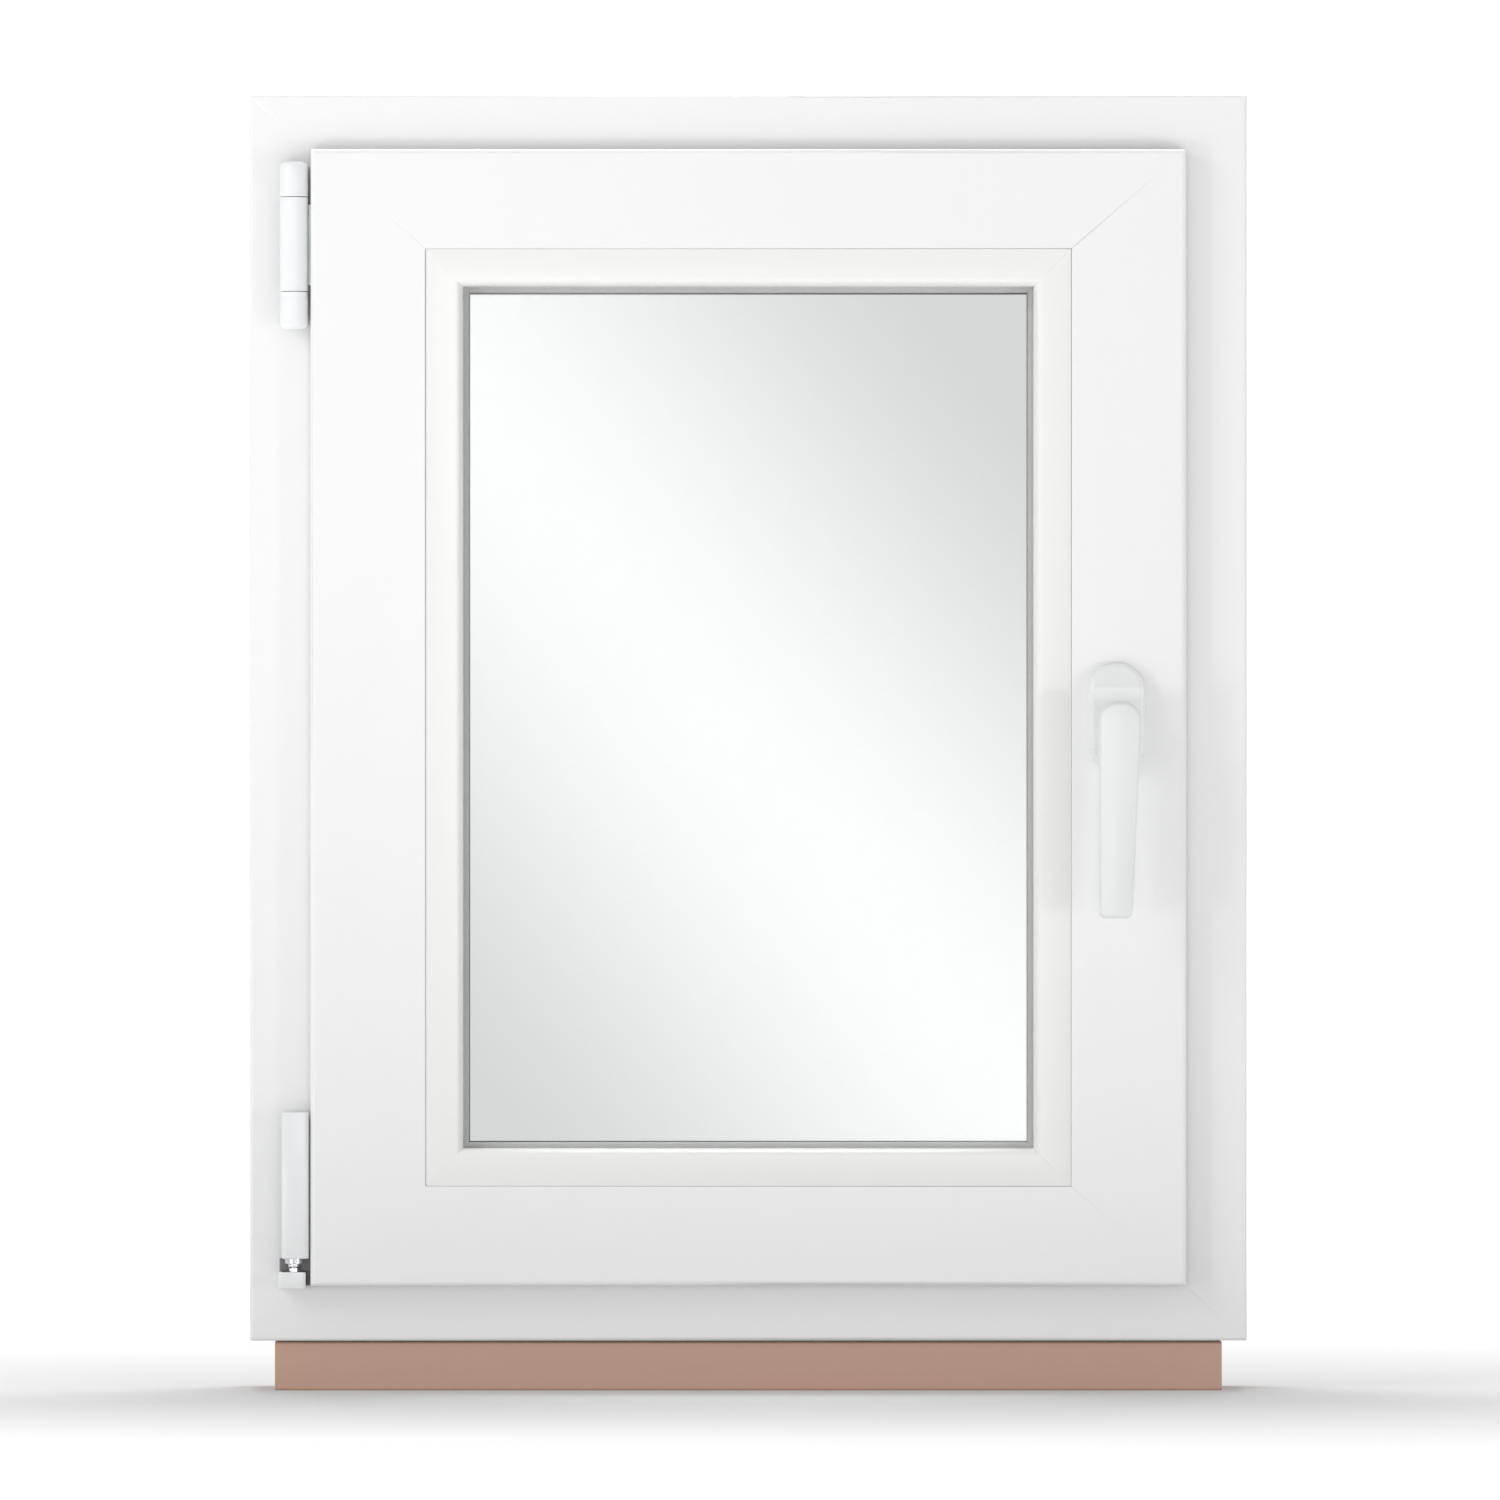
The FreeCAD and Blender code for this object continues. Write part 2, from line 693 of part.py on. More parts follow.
def make_keeps():
    x0 = edge_x - keep_face
    x1 = edge_x - lap
    plate = box(x0, keep_y0, lock_cam_z - keep_half_length, x1, keep_y1, lock_cam_z + keep_half_length)
    lip = box(x0 - keep_lip_height, lip_back - keep_lip, lock_cam_z - lip_half_length, x0, lip_back,
              lock_cam_z + lip_half_length)
    save(cut_keep_holes(plate.fuse(lip)), "keep_lock_side")
    z0 = high_edge - keep_face
    plate = box(top_cam_x - keep_half_length, keep_y0, z0, top_cam_x + keep_half_length, keep_y1, high_edge - lap)
    lip = box(top_cam_x - lip_half_length, lip_back - keep_lip, z0 - keep_lip_height,
              top_cam_x + lip_half_length, lip_back, z0)
    save(cut_keep_holes(plate.fuse(lip)), "keep_top")
    z0 = low_edge + lap
    z1 = low_edge + keep_face
    plate = box(bottom_cam_x - travel - keep_half_length, keep_y0, z0,
                bottom_cam_x + keep_half_length, keep_y1, z1)
    for middle in (bottom_cam_x, bottom_cam_x - travel):
        plate = plate.fuse(box(middle - lip_half_length, tilt_lip_back - keep_lip, z1,
                               middle + lip_half_length, tilt_lip_back, z1 + tilt_lip_height))
    save(cut_keep_holes(plate), "keep_bottom")


def keep_screw_places():
    reach = keep_half_length - keep_screw_from_end
    y = groove_middle + 2
    places = []
    for sign in (-1, 1):
        places.append((Vector(edge_x - keep_face, y, lock_cam_z + sign * reach), Vector(1, 0, 0)))
        places.append((Vector(top_cam_x + sign * reach, y, high_edge - keep_face), Vector(0, 0, 1)))
    for x in (bottom_cam_x - travel - reach, bottom_cam_x + reach):
        places.append((Vector(x, y, low_edge + keep_face), Vector(0, 0, -1)))
    return places


def cut_keep_holes(plate):
    for point, direction in keep_screw_places():
        plate = plate.cut(screw(point, direction, keep_plate + 1, keep_plate))
    return plate.removeSplitter()


def make_frame_screws():
    screws = [screw(p, d, keep_screw, keep_plate) for p, d in keep_screw_places()]
    for point, direction in bearing_screw_places():
        screws.append(screw(point, direction, bearing_screw, bearing_plate, screw_radius, bearing_screw_head))
    save(Part.makeCompound(screws), "frame_screws")


# ---- scissor stay at the top of the hinge side ----

stay_upper_low = stay_top - upper_knuckle
arm_high = stay_upper_low - knuckle_gap
arm_low = arm_high - arm_knuckle
stay_lower_high = arm_low - knuckle_gap
stay_low = stay_lower_high - lower_knuckle
strap_front = flange_back + strap_gap
strap_back = strap_front + strap_thickness
leg_x0 = -edge_x + lap + 3.5
leg_x1 = leg_x0 + strap_thickness
arm_z0 = high_edge - body_start + 4.5
arm_z1 = arm_z0 + stay_thickness


def bearing_screw_places():
    return [(Vector(axis_x - knuckle_radius + 2.5, room - bearing_plate, z), Vector(0, 1, 0))
            for z in (stay_lower_high + 12, arm_high - 12)]


def make_scissor_bearing():
    shape = box(axis_x - cover_radius, room - bearing_plate, stay_low + cover_end_cap,
                axis_x - 1.0, room, stay_top - cover_end_cap)
    for z0, z1 in [(stay_low + cover_end_cap, stay_lower_high), (stay_upper_low, stay_top - cover_end_cap)]:
        knuckle = rod_z(axis_x, axis_y, z0, z1, knuckle_radius)
        block = box(axis_x - knuckle_radius, axis_y, z0, axis_x + knuckle_radius, room, z1)
        shape = shape.fuse(knuckle).fuse(block)
    shape = shape.cut(rod_z(axis_x, axis_y, stay_low + cover_end_cap, stay_top - cover_end_cap, pin_radius))
    for point, direction in bearing_screw_places():
        shape = shape.cut(screw(point, direction, bearing_plate + 1, bearing_plate, screw_radius,
                                bearing_screw_head))
    save(shape.removeSplitter(), "scissor_bearing")
    save(rod_z(axis_x, axis_y, stay_low + cover_end_cap, stay_top - cover_end_cap, pin_radius), "scissor_pin")


# A white cover hugs the room side of a knuckle and leaves its link to the frame or arm free
def half_cover(z0, z1):
    shell = rod_z(axis_x, axis_y, z0, z1, cover_radius).cut(rod_z(axis_x, axis_y, z0, z1, knuckle_radius))
    shell = shell.cut(box(axis_x - knuckle_radius, axis_y, z0, axis_x + knuckle_radius, room, z1))
    return shell.common(box(axis_x - 20, axis_y - 20, z0, axis_x + 20, axis_y + 4.0, z1))


# Closes a cover with a domed end
def cover_end(z0, z1, round_top):
    shape = rod_z(axis_x, axis_y, z0, z1, cover_radius)
    level = z1 if round_top else z0
    rim = [e for e in shape.Edges if abs(e.BoundBox.ZMin - level) < 0.01 and e.BoundBox.ZLength < 0.01]
    shape = shape.makeFillet(1.9, rim)
    return shape.common(box(axis_x - 20, axis_y - 20, z0, axis_x + 20, axis_y + 4.0, z1))


def make_bearing_covers():
    top_cap = stay_top - cover_end_cap
    low_cap = stay_low + cover_end_cap
    upper = half_cover(stay_upper_low, top_cap).fuse(cover_end(top_cap, stay_top, True))
    lower = half_cover(low_cap, stay_lower_high).fuse(cover_end(stay_low, low_cap, False))
    save(upper.removeSplitter(), "bearing_cover_upper")
    save(lower.removeSplitter(), "bearing_cover_lower")


def make_stay_arm():
    bore = pin_radius + running_clearance
    knuckle = rod_z(axis_x, axis_y, arm_low, arm_high, knuckle_radius)
    link = box(axis_x, axis_y, arm_low, axis_x + knuckle_radius, strap_back, arm_high)
    strap = box(axis_x, strap_front, arm_low + 4, leg_x1, strap_back, arm_high - 4)
    leg = box(leg_x0, strap_front, arm_low + 4, leg_x1, groove_middle + stay_width / 2, arm_z1)
    tip = axis_x + stay_length
    arm = box(leg_x0, groove_middle - stay_width / 2, arm_z0, tip, groove_middle + stay_width / 2, arm_z1)
    arm = arm.fuse(rod_z(tip, groove_middle, arm_z0, arm_z1, stay_width / 2))
    shape = knuckle.fuse(link).fuse(strap).fuse(leg).fuse(arm)
    shape = shape.cut(rod_z(axis_x, axis_y, arm_low, arm_high, bore))
    shape = shape.cut(rod_z(tip, groove_middle, arm_z0, arm_z1, stay_pin_radius))
    save(shape.removeSplitter(), "stay_arm")
    save(half_cover(arm_low, arm_high), "stay_arm_cover")
    pin = rod_z(tip, groove_middle, high_edge - groove_end + 2.5, arm_z1, stay_pin_radius)
    pin = pin.fuse(rod_z(tip, groove_middle, arm_z1, arm_z1 + 1.5, stay_pin_radius + 2))
    save(pin, "stay_pin")


# A channel in the sash's top groove, which the stay's pin slides along
def make_stay_guide():
    z0 = high_edge - groove_end
    z1 = high_edge - body_start
    x0 = axis_x + guide_end
    channel = box(x0, groove_front, z0, guide_right, groove_back, z1)
    slot = box(x0 + guide_slot_start, groove_middle - stay_slot / 2, z0 + 1.5,
               guide_right - 4, groove_middle + stay_slot / 2, z1)
    save(channel.cut(slot), "stay_guide")


# ---- corner hinge at the bottom of the hinge side ----

base_top = pivot_z - pin_gap / 2
base_low = base_top - base_height
band_low = pivot_z + pin_gap / 2
band_top = band_low + band_height


def bearing_block():
    return box(axis_x - 7.5, axis_y - 4.4, base_low + 1.5, axis_x + 7.3, room, base_top)


# The steel plate behind the bearing block stands up beside the sash's edge as far as the hinge band
def make_corner_bearing():
    shape = bearing_block()
    shape = shape.cut(rod_z(axis_x, axis_y, base_low + 3, base_top, stem_radius + running_clearance))
    shape = shape.fuse(box(axis_x - 9.0, room - bearing_sheet, base_low + 1.5, -edge_x - bearing_sheet_gap,
                           room, band_low - bearing_sheet_gap)).removeSplitter()
    save(shape, "corner_bearing")
    cover = box(axis_x - 9.5, axis_y - 6, base_low, axis_x + 7.3, room, base_top)
    left = [e for e in cover.Edges if e.BoundBox.ZLength > 1 and e.BoundBox.XMax < axis_x and
            e.BoundBox.YMax < axis_y]
    cover = cover.makeFillet(3.0, left)
    plate = box(-half_width, room - bearing_sheet, base_low, -edge_x, room, band_low)
    save(cover.cut(bearing_block()).cut(plate), "corner_bearing_cover")


# The pivot turns in the bearing, and its ball carries the sash and lets it tilt
def make_corner_pivot():
    stem = rod_z(axis_x, axis_y, base_low + 3.2, pivot_z, stem_radius)
    ball = Part.makeSphere(ball_radius, Vector(axis_x, axis_y, pivot_z))
    save(stem.fuse(ball), "corner_pivot")


def make_corner_hinge():
    cup = rod_z(axis_x, axis_y, pivot_z + 1.0, band_low, ball_radius + 2)
    stem = rod_z(axis_x, axis_y, band_low, band_top - 2, knuckle_radius)
    back = flange_back + strap_thickness
    link = box(axis_x, axis_y, band_low, axis_x + knuckle_radius, back, band_top - 2)
    strap = box(axis_x, flange_back, band_low + 4, -edge_x + body_start, back, band_top - 8)
    leg = box(-edge_x + body_start - band_leg, flange_back, band_low + 4, -edge_x + body_start, groove_back,
              band_top - 8)
    shape = cup.fuse(stem).fuse(link).fuse(strap).fuse(leg)
    shape = shape.cut(Part.makeSphere(ball_radius + running_clearance, Vector(axis_x, axis_y, pivot_z)))
    for point, direction in band_screw_places():
        shape = shape.cut(screw(point, direction, 5.0, band_leg))
    save(shape.removeSplitter(), "corner_hinge_band")
    outer = box(axis_x - 7.3, axis_y - 9, band_low, axis_x + 9.0, axis_y + 4.0, band_top)
    rim = [e for e in outer.Edges if e.BoundBox.YMax < axis_y]
    outer = outer.makeFillet(2.2, rim)
    inner = rod_z(axis_x, axis_y, band_low, band_top - 2, knuckle_radius)
    inner = inner.fuse(box(axis_x, axis_y, band_low, axis_x + knuckle_radius, room, band_top - 2))
    save(outer.cut(inner), "corner_hinge_cover")


def band_screw_places():
    x = -edge_x + body_start - band_leg
    y = groove_back - 3.5
    return [(Vector(x, y, z), Vector(1, 0, 0)) for z in (band_low + 18, band_top - 24)]


def make_band_screws():
    screws = [screw(p, d, band_screw, band_leg) for p, d in band_screw_places()]
    save(Part.makeCompound(screws), "hinge_band_screws")


# ---- handle ----

blade_back = sash_front - handle_reach
blade_front = blade_back - lever_thickness


def stadium(width, height, y0, y1):
    radius = width / 2
    straight = height / 2 - radius
    shape = box(handle_x - radius, y0, handle_z - straight, handle_x + radius, y1, handle_z + straight)
    for sign in (-1, 1):
        shape = shape.fuse(rod_y(handle_x, y0, y1, handle_z + sign * straight, radius))
    return shape.removeSplitter()


def make_rosette():
    front = sash_front - rosette_depth
    outer = stadium(rosette_width, rosette_height, front, sash_front)
    rim = [e for e in outer.Edges if e.BoundBox.YMax < front + 0.01]
    outer = outer.makeChamfer(rosette_bevel, rim)
    inside = stadium(rosette_width - 2 * rosette_wall - 2 * rosette_bevel,
                     rosette_height - 2 * rosette_wall - 2 * rosette_bevel, front + rosette_wall, sash_front)
    cover = outer.cut(inside).cut(rod_y(handle_x, front - 1, sash_front, handle_z, neck_diameter / 2 + neck_play))
    save(cover, "rosette_cover")
    plate = stadium(rosette_width - 2 * rosette_wall - 2 * rosette_bevel,
                    rosette_height - 2 * rosette_wall - 2 * rosette_bevel, sash_front - base_plate, sash_front)
    plate = plate.cut(rod_y(handle_x, sash_front - base_plate, sash_front, handle_z, neck_diameter / 2 + 0.1))
    for sign in (-1, 1):
        z = handle_z + sign * handle_screw_spacing / 2
        point = Vector(handle_x, sash_front - base_plate, z)
        plate = plate.cut(screw(point, Vector(0, 1, 0), base_plate, handle_screw_head_depth, handle_screw_radius,
                               handle_screw_head))
    save(plate, "handle_base")


def make_handle_screws():
    screws = []
    for sign in (-1, 1):
        point = Vector(handle_x, sash_front - base_plate, handle_z + sign * handle_screw_spacing / 2)
        length = groove_front + case_wall - (sash_front - base_plate)
        screws.append(screw(point, Vector(0, 1, 0), length, handle_screw_head_depth, handle_screw_radius,
                               handle_screw_head))
    save(Part.makeCompound(screws), "handle_screws")


# The blade's hinge-side edge is straight and its lock-side edge runs in towards the tip
def make_lever():
    top = handle_z + lever_top
    end = handle_z - lever_length
    left = handle_x - lever_left
    right = handle_x + lever_right_top
    corner = 9.0
    start = Vector(left, blade_front, end)
    points = [start, Vector(left, blade_front, top - corner)]
    blade_edges = [Part.LineSegment(points[0], points[1]).toShape()]
    mid_top = Vector((left + right) / 2, blade_front, top)
    right_top = Vector(right, blade_front, top - corner)
    blade_edges.append(Part.Arc(points[1], mid_top, right_top).toShape())
    tip_right = Vector(handle_x + lever_right_end, blade_front, end)
    blade_edges.append(Part.LineSegment(right_top, tip_right).toShape())
    blade_edges.append(Part.LineSegment(tip_right, start).toShape())
    blade = Part.Face(Part.Wire(blade_edges)).extrude(Vector(0, lever_thickness, 0))
    ends = [e for e in blade.Edges if e.BoundBox.YLength > 1 and e.BoundBox.ZMax < end + 1]
    blade = blade.makeFillet(4.0, ends)
    front = [e for e in blade.Edges if e.BoundBox.YMax < blade_front + 0.01]
    blade = blade.makeFillet(3.0, front)
    neck = rod_y(handle_x, blade_back - 2, sash_front - 1, handle_z, neck_diameter / 2 - 0.1)
    half = spindle / 2
    socket = box(handle_x - half, blade_back, handle_z - half, handle_x + half, sash_front, handle_z + half)
    lever = blade.fuse(neck).cut(socket)
    save(lever.removeSplitter(), "handle_lever")
    save(box(handle_x - half, blade_back, handle_z - half, handle_x + half, groove_middle + 7,
             handle_z + half), "handle_spindle")


make_frame()
make_frame_steel()
make_frame_gasket()
make_drain_caps()
make_sill_profile()
make_keeps()
make_frame_screws()
make_scissor_bearing()
make_bearing_covers()
make_corner_bearing()
make_corner_pivot()
make_sash()
make_sash_steel()
make_sash_gasket()
make_beads()
make_glazing_gaskets()
make_glass()
make_glazing_blocks()
make_faceplates()
make_corner_drives()
make_gearbox_case()
make_stay_guide()
make_corner_hinge()
make_band_screws()
make_rosette()
make_handle_screws()
make_stay_arm()
make_lever()
make_pinion()
make_rods()
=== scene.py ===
import bpy
import bmesh
import json
import math
from mathutils import Matrix, Vector


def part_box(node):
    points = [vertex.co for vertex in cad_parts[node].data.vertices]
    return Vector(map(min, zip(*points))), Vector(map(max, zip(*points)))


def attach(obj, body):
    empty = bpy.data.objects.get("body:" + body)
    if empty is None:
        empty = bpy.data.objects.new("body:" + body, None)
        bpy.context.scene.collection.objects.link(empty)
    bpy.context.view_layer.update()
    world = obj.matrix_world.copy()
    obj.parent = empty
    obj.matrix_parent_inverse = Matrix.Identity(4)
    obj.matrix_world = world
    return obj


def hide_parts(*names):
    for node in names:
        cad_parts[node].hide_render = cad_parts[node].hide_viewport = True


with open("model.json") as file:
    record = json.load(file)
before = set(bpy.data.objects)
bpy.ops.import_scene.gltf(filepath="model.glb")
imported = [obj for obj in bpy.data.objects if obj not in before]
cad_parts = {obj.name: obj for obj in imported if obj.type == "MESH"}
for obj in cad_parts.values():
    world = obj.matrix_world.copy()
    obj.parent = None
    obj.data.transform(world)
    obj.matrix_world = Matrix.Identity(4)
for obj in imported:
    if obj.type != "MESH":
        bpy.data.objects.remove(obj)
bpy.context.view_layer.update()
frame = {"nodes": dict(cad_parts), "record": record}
print("frame loaded:", len(frame["nodes"]), "nodes")

mm = 0.001
same = 1e-6     # points nearer than this are one point
touch = 1e-5    # and within this a point lies on a line or face


def finishMesh(bm, name, smooth=True):
    bmesh.ops.remove_doubles(bm, verts=bm.verts, dist=same)
    bmesh.ops.recalc_face_normals(bm, faces=bm.faces)
    mesh = bpy.data.meshes.new(name)
    bm.to_mesh(mesh)
    bm.free()
    piece = bpy.data.objects.new(name, mesh)
    bpy.context.scene.collection.objects.link(piece)
    if smooth:
        mesh.shade_smooth()
        mesh.set_sharp_from_angle(angle=math.radians(35))
    return piece


def bevelEdges(bm, edges, width, segments=3):
    bmesh.ops.bevel(bm, geom=edges, offset=width, offset_type="OFFSET", segments=segments, profile=0.5,
                    affect="EDGES", material=-1, clamp_overlap=True)


# Gives a flat outline its depth, along Y
def pushOut(bm, depth):
    made = bmesh.ops.extrude_face_region(bm, geom=bm.faces[:])
    moved = [g for g in made["geom"] if isinstance(g, bmesh.types.BMVert)]
    bmesh.ops.translate(bm, verts=moved, vec=(0, depth, 0))


# A four-sided outline in the XZ plane, whose corners are then moved to their places
def flatOutline(bm):
    return bmesh.ops.create_grid(bm, x_segments=1, y_segments=1, size=0.5)["verts"]


def cutAcross(bm, point, normal, near=0.0):
    bmesh.ops.bisect_plane(bm, geom=bm.verts[:] + bm.edges[:] + bm.faces[:], dist=near,
                           plane_co=point, plane_no=normal)


def addBox(bm, low, high):
    middle = (Vector(low) + Vector(high)) / 2
    size = Vector(high) - Vector(low)
    put = Matrix.Translation(middle) @ Matrix.Diagonal((*size, 1))
    bmesh.ops.create_cube(bm, size=1, matrix=put)


def place(piece, material, body, slot, *nodes):
    piece.data.materials.clear()
    piece.data.materials.append(material)
    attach(piece, body)
    if nodes:
        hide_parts(*nodes)
    return piece


def newGroup(name, inputs, outputs):
    group = bpy.data.node_groups.new(name, "ShaderNodeTree")
    for label, kind, value in inputs:
        socket = group.interface.new_socket(name=label, in_out="INPUT", socket_type=kind)
        socket.default_value = value
    for label, kind in outputs:
        group.interface.new_socket(name=label, in_out="OUTPUT", socket_type=kind)
    ins = group.nodes.new("NodeGroupInput")
    outs = group.nodes.new("NodeGroupOutput")
    return group, ins, outs


def addMath(nodes, operation, kind="ShaderNodeMath"):
    node = nodes.new(kind)
    node.operation = operation
    return node


# Two scales of noise: broad clouds that shift the colour, and a fine texture for roughness and relief
def makeFinishGroup():
    group, ins, outs = newGroup(
        "surfaceFinish",
        [("Light", "NodeSocketColor", (0.9, 0.9, 0.9, 1)), ("Dark", "NodeSocketColor", (0.8, 0.8, 0.8, 1)),
         ("Cloud Scale", "NodeSocketFloat", 6.0), ("Grain Scale", "NodeSocketFloat", 900.0),
         ("Stretch", "NodeSocketVector", (1, 1, 1)), ("Gloss", "NodeSocketFloat", 0.3),
         ("Gloss Spread", "NodeSocketFloat", 0.08)],
        [("Color", "NodeSocketColor"), ("Roughness", "NodeSocketFloat"), ("Height", "NodeSocketFloat")])
    nodes, links = group.nodes, group.links
    coord = nodes.new("ShaderNodeTexCoord")
    stretch = addMath(nodes, "MULTIPLY", "ShaderNodeVectorMath")
    links.new(coord.outputs["Object"], stretch.inputs[0])
    links.new(ins.outputs["Stretch"], stretch.inputs[1])
    cloud = nodes.new("ShaderNodeTexNoise")
    cloud.inputs["Detail"].default_value = 4
    links.new(stretch.outputs[0], cloud.inputs["Vector"])
    links.new(ins.outputs["Cloud Scale"], cloud.inputs["Scale"])
    grain = nodes.new("ShaderNodeTexNoise")
    grain.inputs["Detail"].default_value = 3
    links.new(stretch.outputs[0], grain.inputs["Vector"])
    links.new(ins.outputs["Grain Scale"], grain.inputs["Scale"])
    mix = nodes.new("ShaderNodeMix")
    mix.data_type = "RGBA"
    links.new(cloud.outputs["Fac"], mix.inputs["Factor"])
    links.new(ins.outputs["Dark"], mix.inputs[6])
    links.new(ins.outputs["Light"], mix.inputs[7])
    links.new(mix.outputs[2], outs.inputs["Color"])
    blend = addMath(nodes, "ADD")
    links.new(cloud.outputs["Fac"], blend.inputs[0])
    links.new(grain.outputs["Fac"], blend.inputs[1])
    centre = addMath(nodes, "SUBTRACT")
    centre.inputs[1].default_value = 1.0
    links.new(blend.outputs[0], centre.inputs[0])
    rough = addMath(nodes, "MULTIPLY_ADD")
    links.new(centre.outputs[0], rough.inputs[0])
    links.new(ins.outputs["Gloss Spread"], rough.inputs[1])
    links.new(ins.outputs["Gloss"], rough.inputs[2])
    links.new(rough.outputs[0], outs.inputs["Roughness"])
    links.new(grain.outputs["Fac"], outs.inputs["Height"])
    return group


finishGroup = makeFinishGroup()


def makeMaterial(name, settings):
    material = bpy.data.materials.new(name)
    material.use_nodes = True
    nodes, links = material.node_tree.nodes, material.node_tree.links
    shader = nodes["Principled BSDF"]
    group = nodes.new("ShaderNodeGroup")
    group.node_tree = finishGroup
    group.inputs["Light"].default_value = (*settings["light"], 1)
    group.inputs["Dark"].default_value = (*settings["dark"], 1)
    group.inputs["Cloud Scale"].default_value = settings.get("cloud", 6.0)
    group.inputs["Grain Scale"].default_value = settings.get("grain", 900.0)
    group.inputs["Stretch"].default_value = settings.get("stretch", (1, 1, 1))
    group.inputs["Gloss"].default_value = settings["roughness"]
    group.inputs["Gloss Spread"].default_value = settings.get("spread", 0.08)
    links.new(group.outputs["Color"], shader.inputs["Base Color"])
    links.new(group.outputs["Roughness"], shader.inputs["Roughness"])
    bump = nodes.new("ShaderNodeBump")
    bump.inputs["Strength"].default_value = settings.get("relief", 0.1)
    bump.inputs["Distance"].default_value = settings.get("depth", 0.0001)
    links.new(group.outputs["Height"], bump.inputs["Height"])
    links.new(bump.outputs["Normal"], shader.inputs["Normal"])
    shader.inputs["Metallic"].default_value = settings.get("metallic", 0.0)
    shader.inputs["Specular IOR Level"].default_value = settings.get("specular", 0.5)
    shader.inputs["Coat Weight"].default_value = settings.get("coat", 0.0)
    shader.inputs["Coat Roughness"].default_value = settings.get("coatRoughness", 0.1)
    return material


finishes = {
    "whiteUpvc": {"light": (0.89, 0.89, 0.89), "dark": (0.865, 0.865, 0.868), "cloud": 3.0, "grain": 700.0,
                  "roughness": 0.34, "spread": 0.10, "relief": 0.06, "depth": 0.00008},
    "beadUpvc": {"light": (0.885, 0.885, 0.868), "dark": (0.865, 0.865, 0.85), "cloud": 4.0, "grain": 800.0,
                 "roughness": 0.30, "spread": 0.08, "relief": 0.05, "depth": 0.00008},
    "coverWhite": {"light": (0.855, 0.872, 0.878), "dark": (0.835, 0.852, 0.858), "cloud": 20.0, "grain": 1400.0,
                   "roughness": 0.26, "spread": 0.06, "relief": 0.05, "depth": 0.00005},
    # the lever's powder coat is powderWhite painted darker: painted shade for how the lever's face falls in the
    # light
    "shadedLeverWhite": {"light": (0.80, 0.82, 0.815), "dark": (0.78, 0.80, 0.795), "cloud": 14.0, "grain": 1600.0,
                   "roughness": 0.34, "spread": 0.08, "relief": 0.16, "depth": 0.00006, "coat": 0.15},
    # the corner bearing's cast zinc painted much darker than castZinc: painted shade for its recess behind the
    # pivot
    "shadedCastZinc": {"light": (0.26, 0.26, 0.27), "dark": (0.15, 0.15, 0.16), "cloud": 150.0, "grain": 1500.0,
                 "roughness": 0.38, "spread": 0.18, "relief": 0.25, "depth": 0.00008, "metallic": 1.0},
    "powderWhite": {"light": (0.85, 0.865, 0.86), "dark": (0.83, 0.845, 0.84), "cloud": 14.0, "grain": 1600.0,
                    "roughness": 0.32, "spread": 0.08, "relief": 0.16, "depth": 0.00006, "coat": 0.15},
    "zincSteel": {"light": (0.72, 0.73, 0.74), "dark": (0.55, 0.56, 0.58), "cloud": 60.0, "grain": 2200.0,
                  "roughness": 0.30, "spread": 0.18, "relief": 0.12, "depth": 0.00005, "metallic": 1.0},
    "galvanised": {"light": (0.62, 0.64, 0.66), "dark": (0.46, 0.48, 0.51), "cloud": 120.0, "grain": 1500.0,
                   "roughness": 0.42, "spread": 0.2, "relief": 0.2, "depth": 0.00008, "metallic": 1.0},
    "brightSteel": {"light": (0.83, 0.83, 0.84), "dark": (0.74, 0.74, 0.76), "cloud": 200.0, "grain": 3000.0,
                    "roughness": 0.14, "spread": 0.08, "relief": 0.05, "depth": 0.00003, "metallic": 1.0},
    "castZinc": {"light": (0.60, 0.60, 0.60), "dark": (0.48, 0.48, 0.49), "cloud": 90.0, "grain": 1200.0,
                 "roughness": 0.45, "spread": 0.14, "relief": 0.3, "depth": 0.0001, "metallic": 1.0},
    "greyGasket": {"light": (0.50, 0.505, 0.50), "dark": (0.44, 0.445, 0.44), "cloud": 40.0, "grain": 1800.0,
                   "roughness": 0.62, "spread": 0.12, "relief": 0.25, "depth": 0.00008},
    "blackSeal": {"light": (0.045, 0.045, 0.045), "dark": (0.025, 0.025, 0.025), "cloud": 50.0, "grain": 1500.0,
                  "roughness": 0.6, "spread": 0.15, "relief": 0.25, "depth": 0.0001},
    "tanSill": {"light": (0.63, 0.375, 0.30), "dark": (0.52, 0.345, 0.24), "cloud": 9.0, "grain": 500.0,
                "stretch": (0.25, 1, 2.2), "roughness": 0.55, "spread": 0.12, "relief": 0.35, "depth": 0.00015},
    # the sealing tape between frame and sill profile: a real tape, whose dark grey-green also stands in for the
    # shadow line there, as painted shade
    "sealTapeAndShadowLine": {"light": (0.30, 0.31, 0.26), "dark": (0.20, 0.21, 0.17), "cloud": 200.0, "grain": 1600.0,
                 "roughness": 0.85, "spread": 0.1, "relief": 0.7, "depth": 0.0003},
    "millSpacer": {"light": (0.75, 0.76, 0.77), "dark": (0.66, 0.67, 0.69), "cloud": 30.0, "grain": 1800.0,
                   "roughness": 0.35, "spread": 0.1, "relief": 0.1, "depth": 0.00005, "metallic": 1.0},
    "blockPlastic": {"light": (0.10, 0.25, 0.50), "dark": (0.08, 0.20, 0.42), "cloud": 60.0, "grain": 900.0,
                     "roughness": 0.5, "spread": 0.1, "relief": 0.2, "depth": 0.0001},
}
mats = {name: makeMaterial(name, settings) for name, settings in finishes.items()}


